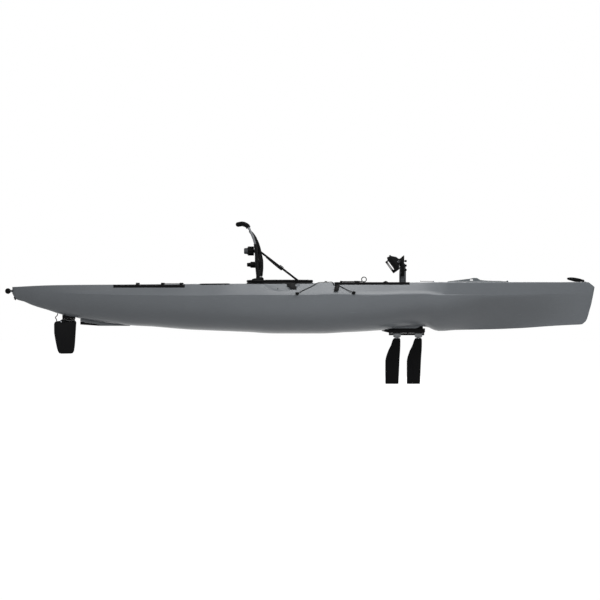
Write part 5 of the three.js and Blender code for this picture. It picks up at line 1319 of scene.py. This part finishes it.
def lift_cord():
    """The line that lifts the blade, from the stern to the blade, and its handle by the cockpit."""
    x, pivot_z = BLADE_PIVOT[0] - 0.04, BLADE_PIVOT[2]
    top = keel_height(x + 0.01) - 4 * GAP
    points = [
        (x + 0.01, 0, top), (x + 0.008, 0, top - 0.014), (x - 0.008, 0, top - 0.034), (x, 0, pivot_z + 0.018),
        (x + 0.002, 0, pivot_z + 0.004),
    ]
    line = tube(points, CORD * 1.5, 30, 12)
    name_piece(line, "blade_lift_line", BRAID, "rudder_lift_line")
    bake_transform(line)
    cleat_x, ring_x, ring_r, cord_r = 0.47, 0.535, 0.02, 0.0038
    y = -(gunwale_half(0.29) - 0.056)
    deck = deck_height(cleat_x)
    cord_z = deck + 0.013 * 0.55
    ring_z = deck + ring_r + cord_r + GAP
    loop = [
        (ring_x + ring_r * math.cos(a), y, ring_z + ring_r * math.sin(a) * (1 if math.sin(a) > 0 else 0.94))
        for a in round_steps(20)
    ]
    ring = tube(loop, cord_r, 60, 12, True)
    line = tube([(0.337, y, cord_z), (0.43, y, cord_z), (ring_x - ring_r * 0.8, y, cord_z)], cord_r, 12, 12)
    bead = turned(
        [(0, 0), (0.0045, 0), (0.006, 0.0015), (0.0052, 0.003), (0.006, 0.0045), (0.0052, 0.006),
         (0.006, 0.0075), (0.0052, 0.009), (0.0058, 0.0105), (0.004, 0.012), (0, 0.012)],
        "x", (cleat_x + 0.0165 + GAP, y, cord_z), 24,
    )
    handle = join([ring, line, shade(bead, 60)])
    hand_in(handle, "lift_handle_loop", BODY_OF["rudder_lift_handle"], BRAID, "rudder_lift_handle")


eye_feet()
cargo_cord()
paddle_cord()
lift_cord()


# Seat

MOUNT_TOP = deck_height(0.1) + 0.004
SEAT_TUBE = 0.011
FRAME_Z = MOUNT_TOP + GAP + SEAT_TUBE
HINGE_X, HINGE_Z = -0.315, FRAME_Z + 0.021
SEAT_AFT, SEAT_FORE, SEAT_HALF, SEAT_CORNER = -0.43, 0.1, 0.252, 0.055
PAD_X, PAD_THICK, PAD_WRAP, PAD_HALF, PAD_TOP_HALF, PAD_BOTTOM = -0.329, 0.022, 0.034, 0.2, 0.12, 0.472
LEAN_BACK = [(0.472, -0.009), (0.495, -0.005), (0.586, 0), (0.668, -0.011), (0.765, -0.031), (0.874, -0.091)]
TUBE_LEAN = [(0.586, 0), (0.668, -0.002), (0.765, -0.015)]
BACK_HALF, BACK_TUBE = 0.18, 0.0095
STAND_X = PAD_X - PAD_THICK - 0.011
BACK_TOP = (-0.512, 0, 0.912)
PAD_TOP = LEAN_BACK[-1][0]
PAD_ROWS = 36
PAD_VOXEL = 0.0048


def rounded_line(aft, fore, half, radius, z):
    """The base tube's line: up one side, round two corners and down the other."""
    shift = radius * (1 - math.sqrt(0.5))
    side = [
        (fore, half), (aft + 2 * radius, half), (aft + radius, half), (aft + shift, half - shift),
        (aft, half - radius),
    ]
    return [(x, y, z) for x, y in side] + [(aft, 0, z)] + [(x, -y, z) for x, y in reversed(side)]


def back_line(side):
    """One side of the back's tube, from its hinge up and over to the grip."""
    return [
        (-0.352, side * BACK_HALF, HINGE_Z - 0.004), (-0.352, side * BACK_HALF, HINGE_Z + 0.022),
        *[(STAND_X + shift, side * BACK_HALF, z) for z, shift in TUBE_LEAN],
        (-0.406, side * 0.174, 0.84), (-0.437, side * 0.164, 0.899), (-0.4745, side * 0.15, 0.916),
        (-0.512, side * 0.11, 0.912),
    ]


def whole_back_line():
    return back_line(1) + [BACK_TOP] + back_line(-1)[::-1]


def pad_half(z):
    """Half the back pad's width at a height."""
    share = (z - PAD_BOTTOM) / (PAD_TOP - PAD_BOTTOM)
    return PAD_HALF - (PAD_HALF - PAD_TOP_HALF) * share**3


def seat_frame():
    loop = tube(rounded_line(SEAT_AFT, SEAT_FORE, SEAT_HALF, SEAT_CORNER, FRAME_Z), SEAT_TUBE, 120, 24)
    reach = SEAT_HALF + SEAT_TUBE
    half_bar = [(0, reach), (SEAT_TUBE * 0.8, reach), (SEAT_TUBE, reach - 0.003)]
    front = turned_closed(both_ways(half_bar), "y", (SEAT_FORE, 0, FRAME_Z), 28)
    ear_line = [
        (SEAT_AFT + SEAT_CORNER * 0.4, FRAME_Z - 0.006), (HINGE_X + 0.019, FRAME_Z - 0.006),
        (HINGE_X + 0.012, HINGE_Z), (HINGE_X + 0.006, HINGE_Z + 0.012), (HINGE_X - 0.006, HINGE_Z + 0.012),
        (HINGE_X - 0.038, HINGE_Z + 0.006), (HINGE_X - 0.07, HINGE_Z + 0.001),
        (HINGE_X - 0.082, HINGE_Z - 0.004),
    ]
    ears = [bar(ear_line, "xz", s * SEAT_HALF - 0.004, s * SEAT_HALF + 0.004, 0.002) for s in (1, -1)]
    nuts = [
        soften(
            rod("y", 0.0088, 0, 0.005, (HINGE_X, s * (SEAT_HALF + 0.0065) - 0.0025, HINGE_Z), 6), 0.0008, 1
        )
        for s in (1, -1)
    ]
    hand_in(join([loop, front, *ears, *nuts]), "seat_base_tubes", "hull", BLACK_PLASTIC, "seat_base_frame")
    half = SEAT_HALF + 0.008
    bolt = turned_closed(
        both_ways([(0, half), (0.004, half), (0.005, half - 0.001)]), "y", (HINGE_X, 0, HINGE_Z), 24
    )
    hand_in(bolt, "seat_hinge_bolt", BODY_OF["seat_hinge_rod"], STEEL, "seat_hinge_rod")


def seat_sleeves():
    """Fabric sewn round the side tubes, which carries the base cushion."""
    sleeve = tube([(x, SEAT_HALF, FRAME_Z) for x in (-0.285, -0.1, 0.072)], 0.0122, 40, 20)
    half_hem = [(0.0118, 0.004), (0.0132, 0.003)]
    hems = [turned_closed(both_ways(half_hem), "x", (x, SEAT_HALF, FRAME_Z), 20) for x in (-0.281, 0.068)]
    pair(join([sleeve, *hems]), "seat_side_sleeve", SEAT_MESH)


def seat_cushion():
    """The base cushion: crowned, with a piped edge and sewn channels across it."""
    low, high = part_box("seat_cushion")
    middle = (low.z + high.z) / 2
    rings = []
    insets = [
        (-0.5, 0.02), (-0.42, 0.008), (-0.15, 0.003), (0.15, 0.003), (0.38, 0.008), (0.46, 0.03),
        (0.5, 0.09),
    ]
    for share, inset in insets:
        outline = oblong(low.x + inset, high.x - inset, lambda x: high.y - inset, 7, 72)
        rings.append([Vector((x, y, middle + share * (high.z - low.z))) for x, y in outline])
    cushion = swell(skin(rings), PAD_VOXEL, 0.005, 3.0)
    for x in (-0.18, -0.07, 0.035):
        pressed_seam(cushion, lambda p, x=x: (p.x - x) if p.z > middle else 1.0, 0.0035, 0.009)
    for y in (-0.15, 0.15):
        pressed_seam(cushion, lambda p, y=y: (p.y - y) if p.z > middle else 1.0, 0.003, 0.008)
    shade(cushion, 70)
    hand_in(cushion, "seat_base_cushion", "hull", SEAT_MESH, "seat_cushion")
    outline = oblong(low.x + 0.005, high.x - 0.005, lambda x: high.y - 0.005, 7, 60)
    edge = [Vector((x, y, high.z - 0.003)) for x, y in outline]
    hand_in(tube(edge, 0.0023, 180, 8, True), "seat_base_piping", "hull", WEBBING)


def back_tubes():
    """The back's tube, its eyes on the hinge bolt, and the cross bars that carry the knobs."""
    frame_tube = tube(whole_back_line(), BACK_TUBE, 200, 20)
    hand_in(frame_tube, "seat_back_tube", "seat_back", ALUMINIUM, "seat_back_frame")
    r = 0.012
    line = [
        (-0.357, HINGE_Z + r), (-0.357, HINGE_Z - r), (HINGE_X + r / 2, HINGE_Z - r),
        (HINGE_X + r, HINGE_Z - r / 3), (HINGE_X + r, HINGE_Z + r / 2), (HINGE_X + r / 2, HINGE_Z + r),
    ]
    brackets = []
    for s in (1, -1):
        eye = bar(line, "xz", s * BACK_HALF - 0.008, s * BACK_HALF + 0.008, 0.0025)
        brackets.append(cut(eye, rod("y", 0.0054, -0.4, 0.4, (HINGE_X, 0, HINGE_Z), 24)))
    for node, half in (("back_height_knob", 0.034), ("lumbar_knob", 0.03)):
        low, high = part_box(node)
        z = (low.z + high.z) / 2

        def front(height):
            return PAD_X - PAD_THICK - 0.00365 + smooth_at(LEAN_BACK, height)

        outline = [
            (front(z - half) - 0.008, z - half), (front(z - half), z - half), (front(z + half), z + half),
            (front(z + half) - 0.008, z + half),
        ]
        brackets.append(bar(outline, "xz", -BACK_HALF, BACK_HALF, 0.003))
        brackets.append(rod("x", 0.006, high.x - 0.04, front(z) - 0.001, (0, 0, z), 20))
        brackets.append(rod("x", 0.013, high.x + 0.0004, front(z) - 0.0075, (0, 0, z), 28, tip=0.02))
    hand_in(join(brackets), "seat_back_brackets", "seat_back", BLACK_PLASTIC)


def back_sleeves():
    """The back fabric's side pockets, drawn over the lower part of each tube."""
    low, high, forward = 0.466, 0.748, Vector((0.0022, 0, 0))
    line = [point + forward for point in curve_points(back_line(1), 90) if low < point.z < high]
    sleeve = tube(line, 0.0139, 60, 20)
    half_hem = [(0.0134, 0.0045), (0.0149, 0.003)]
    hems = [turned_closed(both_ways(half_hem), "z", tuple(line[end]), 20) for end in (-1, 0)]
    pair(join([sleeve, *hems]), "back_side_sleeve", SEAT_MESH, ("seat_back", "seat_back"))


def pad_section(z, thin, shrink):
    """One closed line round the back pad at a height: front from port to starboard, then the rear."""
    half = pad_half(z) - shrink
    lean = smooth_at(LEAN_BACK, z)
    ring = []
    for turn in round_steps(40):
        c, s = math.cos(turn), math.sin(turn)
        y = half * math.copysign(abs(c) ** 0.35, c)
        depth = math.copysign(abs(s) ** 0.6, s) * (PAD_THICK / 2 - thin)
        ring.append(Vector((PAD_X - PAD_THICK / 2 + PAD_WRAP * (y / PAD_HALF) ** 2 + lean + depth, y, z)))
    return ring


def back_pad():
    """The back pad, thinner at its ends, with its sewn channels and its piping."""
    rings = []
    for k in range(PAD_ROWS + 1):
        z = PAD_BOTTOM + 0.003 + (PAD_TOP - PAD_BOTTOM - 0.006) * k / PAD_ROWS
        end = min(k, PAD_ROWS - k)
        thin = 0.0035 + 0.005 * max(0.0, 1 - end / 2)
        shrink = 0.004 + 0.01 * max(0.0, 1 - end / 3) ** 2
        rings.append(pad_section(z, thin, shrink))
    pad = swell(skin(rings), PAD_VOXEL, 0.0035)
    for z in (0.545, 0.63, 0.715, 0.8):
        pressed_seam(pad, lambda p, z=z: p.z - z + 0.02 * (p.y / PAD_HALF) ** 2, 0.0028, 0.009)
    for y in (-0.11, 0.11):
        pressed_seam(pad, lambda p, y=y: abs(p.y) - abs(y) + 0.06 * max(0, p.z - 0.7), 0.0022, 0.008)
    shade(pad, 70)
    hand_in(pad, "seat_back_cushion", "seat_back", SEAT_MESH, "seat_back_pad")
    edge = []
    for z in [PAD_BOTTOM + 0.012 + (0.862 - PAD_BOTTOM - 0.012) * k / 12 for k in range(13)]:
        y = pad_half(z) - 0.003
        edge.append(
            Vector((PAD_X - PAD_THICK / 2 + PAD_WRAP * (y / PAD_HALF) ** 2 + smooth_at(LEAN_BACK, z), y, z))
        )
    top, foot = edge[-1], edge[0]
    over = [Vector((top.x - 0.009 - 0.004 * k, top.y * (1 - 0.3 * k) - 0.012, 0.8705)) for k in range(1, 4)]
    under = [
        Vector((foot.x - 0.008 * k, foot.y * (1 - 0.28 * k) - 0.01, PAD_BOTTOM + 0.002)) for k in range(1, 4)
    ]
    port = [*under[::-1], *edge, *over]
    hand_in(tube([*port, *back_again(port)], 0.0024, 240, 8, True), "seat_back_piping", "seat_back", WEBBING)


def top_grip():
    """The foam grip over the top bar of the back frame."""
    side = [Vector(p) for p in back_line(1)[-4:]]
    side[0] = side[0].lerp(side[1], 0.76)
    path = side + [Vector(BACK_TOP)] + back_again(side)
    grip = soften(tube(path, 0.019, 90, 28), 0.006, 4, 60, 60)
    hand_in(grip, "seat_top_grip", "seat_back", FOAM, "seat_top_pad")


def hand_knob(node, name, radius, lobes, tip_look):
    """A screw knob with finger lobes and a round cap on its end."""
    low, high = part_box(node)
    z = (low.z + high.z) / 2
    length = high.x - low.x
    lobed = []
    for a in round_steps(lobes * 8):
        reach = radius * (0.955 + 0.045 * math.cos(lobes * a))
        lobed.append((reach * math.cos(a), z + reach * math.sin(a)))
    cap_from = low.x + length * 0.38
    body = soften(plate(lobed, "yz", cap_from, high.x), 0.003, 3, 60)
    hand_in(body, name, BODY_OF[node], BLACK_PLASTIC, node)
    cap = turned(
        [(0, low.x), (radius * 0.42, low.x), (radius * 0.56, low.x + 0.002), (radius * 0.62, low.x + 0.006),
         (radius * 0.66, cap_from - 0.008), (radius * 0.76, cap_from - 0.002),
         (radius * 0.76, cap_from + 0.001), (0, cap_from + 0.001)], "x", (0, 0, z), 36,
    )
    hand_in(shade(cap, 40), name + "_cap", BODY_OF[node], tip_look)


def back_straps():
    """Webbing from the back pad to the seat mounts, doubled through a slide buckle."""
    low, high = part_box("back_strap_port")
    inner = 0.2048
    top = Vector((-0.309, inner, 0.668))
    foot = Vector((-0.005, low.y + 0.064, 0.4345))
    outer = SEAT_HALF + SEAT_TUBE + 0.002 + 0.0015
    run = (foot - top).normalized()
    across_way = Vector((run.z, 0, -run.x)).normalized()

    def place(share, sag=0.0, out=0.0):
        y = inner + (outer - inner) * min(1.0, max(0.0, share) * 1.2)
        point = top.lerp(foot, share) - Vector((0, 0, sag * math.sin(math.pi * share)))
        return Vector((point.x, y + out, point.z))

    def webbing(shares, sag, out, width=0.0165, thick=0.0017):
        rings = []
        for share in shares:
            at = place(share, sag, out)
            edge, skin_way = across_way * width / 2, Vector((0, thick / 2, 0))
            rings.append(
                [at - edge - skin_way, at - edge + skin_way, at + edge + skin_way, at + edge - skin_way]
            )
        return soften(skin(rings), 0.0005, 1)

    main = webbing([-0.07 + 1.07 * k / 30 for k in range(31)], 0.0, 0.0)
    tail = webbing([0.1 + 0.42 * k / 20 for k in range(21)], 0.013, 0.0035)
    at = place(0.5, 0, 0.0012)
    centre = Matrix.Translation(at) @ Matrix.Rotation(math.atan2(-run.z, run.x), 4, "Y")
    bars = [
        (-0.017, -0.012, -0.0145, 0.0145), (-0.0025, 0.0025, -0.0145, 0.0145),
        (0.012, 0.017, -0.0145, 0.0145), (-0.017, 0.017, -0.0155, -0.0115), (-0.017, 0.017, 0.0115, 0.0155),
    ]
    buckle = []
    for low_x, high_x, low_z, high_z in bars:
        buckle.append(soften(block((low_x, -0.003, low_z), (high_x, 0.0045, high_z)), 0.0012))
        buckle[-1].data.transform(centre)
    strap = join([main, tail, *buckle])
    for piece, side, sign in ((strap, "port", 1), (to_other_side(strap), "starboard", -1)):
        name_piece(piece, "back_webbing_" + side, WEBBING, "back_strap_" + side)
        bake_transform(piece)


seat_frame()
seat_sleeves()
seat_cushion()
back_tubes()
back_sleeves()
back_pad()
top_grip()
hand_knob("back_height_knob", "back_height_hand_knob", 0.04, 10, CASTING_GREY)
hand_knob("lumbar_knob", "lumbar_hand_knob", 0.026, 8, BLACK_RUBBER)
back_straps()


# Pedal drive

DRIVE_X, AXLE_Z = 0.88, 0.23
CRANK_X = DRIVE_X - 0.02
PEDAL_PLACE = Matrix.Translation((0.822, 0, 0.6)) @ Matrix.Rotation(math.radians(54), 4, "Y")
SLIDE, PEDAL_Y = -0.016, (0.0593, 0.1573)
PEDALS = ("port_pedal", "starboard_pedal")
POSTS = ("port_post", "starboard_post")
CRANKS = ("port_crank", "starboard_crank")


def in_pedal_frame(piece):
    piece.data.transform(PEDAL_PLACE)
    return piece


def window(x_low, x_high, y_low, y_high, z_low, z_high, way):
    """A slot with round corners, for cutting, in the pedal's own frame. way is the side that it looks to."""
    ways = {"z": ("xy", y_low, y_high, z_low, z_high), "y": ("xz", z_low, z_high, y_low, y_high)}
    plane, low, high, near, far = ways[way]
    half, middle = (high - low) / 2, (high + low) / 2
    outline = [(x, across + middle) for x, across in oblong(x_low, x_high, lambda x: half, 4, 24)]
    return in_pedal_frame(plate(outline, plane, near, far))


def pedals():
    body = soften(from_solid("pedal_port"), 0.002)
    near, far = PEDAL_Y
    for k in range(4):
        y = near + 0.013 + k * 0.0205
        for x_low, x_high in ((SLIDE - 0.06, SLIDE - 0.003), (SLIDE + 0.034, SLIDE + 0.06)):
            cut(body, window(x_low, x_high, y, y + 0.0095, -0.05, -0.012, "z"))
    pegs = []
    for x in (SLIDE - 0.066, SLIDE - 0.034, SLIDE, SLIDE + 0.032, SLIDE + 0.064):
        for k in range(5):
            y = near + 0.0085 + k * 0.0205
            peg = rod("z", 0.0012, 0, 0.003, (x, y, -0.0327), 10, tip=0.0024)
            pegs.append(in_pedal_frame(peg))
    cheek_line = [
        (-0.07, -0.059), (-0.084, -0.0513), (-0.0735, -0.0194), (-0.0422, 0.0096), (-0.014, 0.019),
        (0.012, 0.0155), (0.04, -0.018), (0.048, -0.046), (0.05, -0.059),
    ]
    cheeks = [
        in_pedal_frame(bar(cheek_line, "xz", y, y + 0.0034, 0.001)) for y in (near + 0.0002, far - 0.0036)
    ]
    shade(body, 40)
    pair(join([body, *pegs, *cheeks]), "pedal_body", BLACK_PLASTIC, PEDALS, "pedal")
    wall, foot, low = 0.0036, -0.0305, -0.087
    band_line = [
        (near, foot), (near, low + 0.012), (near + 0.012, low), (far - 0.012, low), (far, low + 0.012),
        (far, foot), (far - wall, foot), (far - wall, low + 0.0135), (far - 0.0135, low + wall),
        (near + 0.0135, low + wall), (near + wall, low + 0.0135), (near + wall, foot),
    ]
    strap = in_pedal_frame(plate(band_line, "yz", -0.062, 0.056))
    cut(strap, window(-0.053, 0.034, near - 0.02, far + 0.02, -0.0745, -0.061, "y"))
    cut(strap, window(-0.049, 0.03, near - 0.02, far + 0.02, -0.0838, -0.0778, "y"))
    for x_low in (-0.05, -0.012, 0.026):
        cut(strap, window(x_low, x_low + 0.022, near + 0.022, far - 0.022, -0.1, -0.06, "z"))
    pair(soften(strap, 0.0007, 1), "pedal_strap_band", BLACK_RUBBER, PEDALS, "pedal_strap")
    ends = [
        side_bolt((0.822, y, 0.6), 0.006, 0.003, side) for y, side in ((near - 0.0016, -1), (far + 0.0016, 1))
    ]
    pair(join(ends), "pedal_pin_nuts", STEEL, POSTS)


def cranks():
    arm = soften(from_solid("crank_port"), 0.004)
    pocket = [
        (CRANK_X - 0.016, 0.34), (CRANK_X - 0.008, 0.325), (CRANK_X + 0.012, 0.325), (CRANK_X + 0.019, 0.34),
        (CRANK_X + 0.019, 0.462), (CRANK_X + 0.01, 0.472), (CRANK_X - 0.01, 0.472), (CRANK_X - 0.018, 0.462),
    ]
    cut(arm, plate(pocket, "xz", 0.0385, 0.06))
    shade(arm, 35)
    ribs = []
    for z in (0.335, 0.365, 0.395, 0.425):
        slope = [
            (CRANK_X - 0.018, z), (CRANK_X + 0.02, z + 0.02), (CRANK_X + 0.02, z + 0.024),
            (CRANK_X - 0.018, z + 0.004),
        ]
        ribs.append(bar(slope, "xz", 0.038, 0.0415, 0.0008))
    pair(join([arm, *ribs]), "crank_arm", CASTING_GREY, CRANKS, "crank")
    cap = turned(
        [(0, 0.0622), (0.006, 0.0618), (0.0095, 0.0595), (0.0105, 0.056), (0.0105, 0.05), (0.018, 0.0488),
         (0.0205, 0.046), (0.0205, 0.0421), (0, 0.0421)], "y", (DRIVE_X, 0, AXLE_Z), 32,
    )
    pair(shade(cap, 40), "crank_hub_cap", BLACK_PLASTIC, CRANKS)
    sprocket_line = []
    for a in round_steps(18):
        for share, radius in ((0, 0.0255), (0.22, 0.029), (0.4, 0.029), (0.62, 0.0255)):
            turn = a + share * math.tau / 18
            sprocket_line.append((DRIVE_X + radius * math.cos(turn), AXLE_Z + radius * math.sin(turn)))
    sprocket = plate(sprocket_line, "xz", 0.0243, 0.0257)
    pair(shade(sprocket, 30), "crank_sprocket", STEEL, CRANKS)


def drive_collar():
    """The moulded lip of the hull round the drive's underside."""
    top = [(x, keel_height(x) + 0.012) for x in (0.99, 0.94, 0.88, 0.82, 0.76)]
    outline = [
        (0.72, keel_height(0.72) + 0.004), (0.76, 0.0435), (0.97, 0.0435), (1.0, keel_height(1.0) - 0.004)
    ]
    collar = bar(outline + [(1.0, keel_height(1.0) + 0.01)] + top, "xz", 0.0625, 0.0685, 0.0015)
    pair(collar, "drive_well_lip", HULL_GREY)


def drive_bolts():
    bolts = []
    for x, z in ((0.8, 0.15), (0.96, 0.15), (0.862, 0.262), (0.898, 0.262), (0.835, 0.205), (0.925, 0.205)):
        bolts.append(side_bolt((x, 0.0241, z), 0.0042, 0.0016 if z > 0.2 else 0.004))
    pair(join(bolts), "drive_side_bolts", STEEL)
    screws = [dome_screw((x, y, 0.1303), 0.0042) for x in (0.71, 1.026) for y in (-0.045, 0.0, 0.045)]
    hand_in(join(screws), "drive_flange_screws", "hull", STEEL)


def masts_and_fins():
    """Each mast's hub and rod, and its fin: thick at the nose, swept and cut square at the foot."""
    noses = [(0, 0.024), (0.05, 0.029), (0.5, 0.021), (1, 0.013)]
    tails = [
        (0, -0.026), (0.03, -0.033), (0.06, -0.039), (0.154, -0.05), (0.284, -0.075), (0.414, -0.092),
        (0.5, -0.098), (1, -0.098),
    ]
    section = [(0, 0), (0.01, 0.35), (0.035, 0.6), (0.085, 0.84), (0.16, 0.97), (0.26, 1), (0.42, 0.86),
               (0.6, 0.6), (0.8, 0.34), (0.95, 0.2), (1, 0.1)]
    half_hub = [
        (0.0096, 0.032), (0.0172, 0.032), (0.0215, 0.0305), (0.0262, 0.025), (0.029, 0.0165), (0.03, 0.007)
    ]
    for x, end_name, node in ((0.993, "fore", "front"), (0.813, "aft", "rear")):
        hub = turned_closed(both_ways(half_hub), "x", (x, 0, -0.006), 48)
        hand_in(hub, end_name + "_mast_hub", end_name + "_mast", HUB_GREY, node + "_mast")
        stem = rod("z", 0.006, -0.404, -0.026, (x, 0, 0), 24)
        hand_in(soften(stem, 0.001, 2, 60), end_name + "_mast_hub_rod", end_name + "_mast", STEEL)
        rings = []
        for k in range(33):
            share = k / 32
            nose, tail = smooth_at(noses, share), straight_at(tails, share)
            z = -0.037 - 0.384 * share
            end = min(1.0, (1 - share) / 0.04 + 0.25, share / 0.02 + 0.6)
            trim = 0.004 * (1 - end)
            chord = nose - tail - 2 * trim
            upper = [Vector((x + nose - trim - chord * u, 0.01 * v * end, z)) for u, v in section]
            rings.append(upper + back_again(upper[1:]))
        blade = shade(skin(rings), 40)
        hand_in(blade, end_name + "_fin_blade", end_name + "_fin", BLACK_RUBBER, node + "_fin")


def posts():
    """The pedal posts, each with three knobs on its fore side and a lever up its outer face."""
    low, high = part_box("pedal_post_port")
    post = from_solid("pedal_post_port")
    cut(post, block((CRANK_X + 0.0131, low.y - 0.01, 0.5), (high.x + 0.02, high.y + 0.01, 0.7)))
    soften(post, 0.0025)
    y = 0.0488
    knobs = [
        turned(
            [(0, 0.0122), (0.0045, 0.0122), (0.0045, 0.0175), (0.0075, 0.0185), (0.0088, 0.021),
             (0.0088, 0.0305), (0.0075, 0.0335), (0, 0.0345)], "x", (CRANK_X, y, z), 18,
        )
        for z in (0.606, 0.568, 0.532)
    ]
    lever_line = [(0.866, 0.612), (0.873, 0.606), (0.8735, 0.651), (0.8705, 0.6545), (0.8665, 0.652)]
    lever = bar(lever_line, "xz", 0.0553, 0.0582, 0.001)
    pieces = [post, lever, *[shade(each, 40) for each in knobs]]
    pair(join(pieces), "pedal_post_detail", BLACK_PLASTIC, POSTS, "pedal_post")


pedals()
posts()
cranks()
drive_collar()
drive_bolts()
masts_and_fins()


# Rudder fastenings


def rudder_bolts():
    half_pin = [(0, 0.0185), (0.0046, 0.0185), (0.006, 0.0175), (0.006, 0.0165), (0.0039, 0.0162)]
    pin = turned_closed(both_ways(half_pin), "y", BLADE_PIVOT, 24)
    hand_in(pin, "blade_pivot_bolt", BODY_OF["rudder_pivot_pin"], STEEL, "rudder_pivot_pin")
    bolts = [side_bolt((x, 0.0281, 0.14), 0.004, 0.003) for x in (-1.965, -1.9)]
    pair(join(bolts), "housing_bolts", BLACK_PLASTIC)


rudder_bolts()
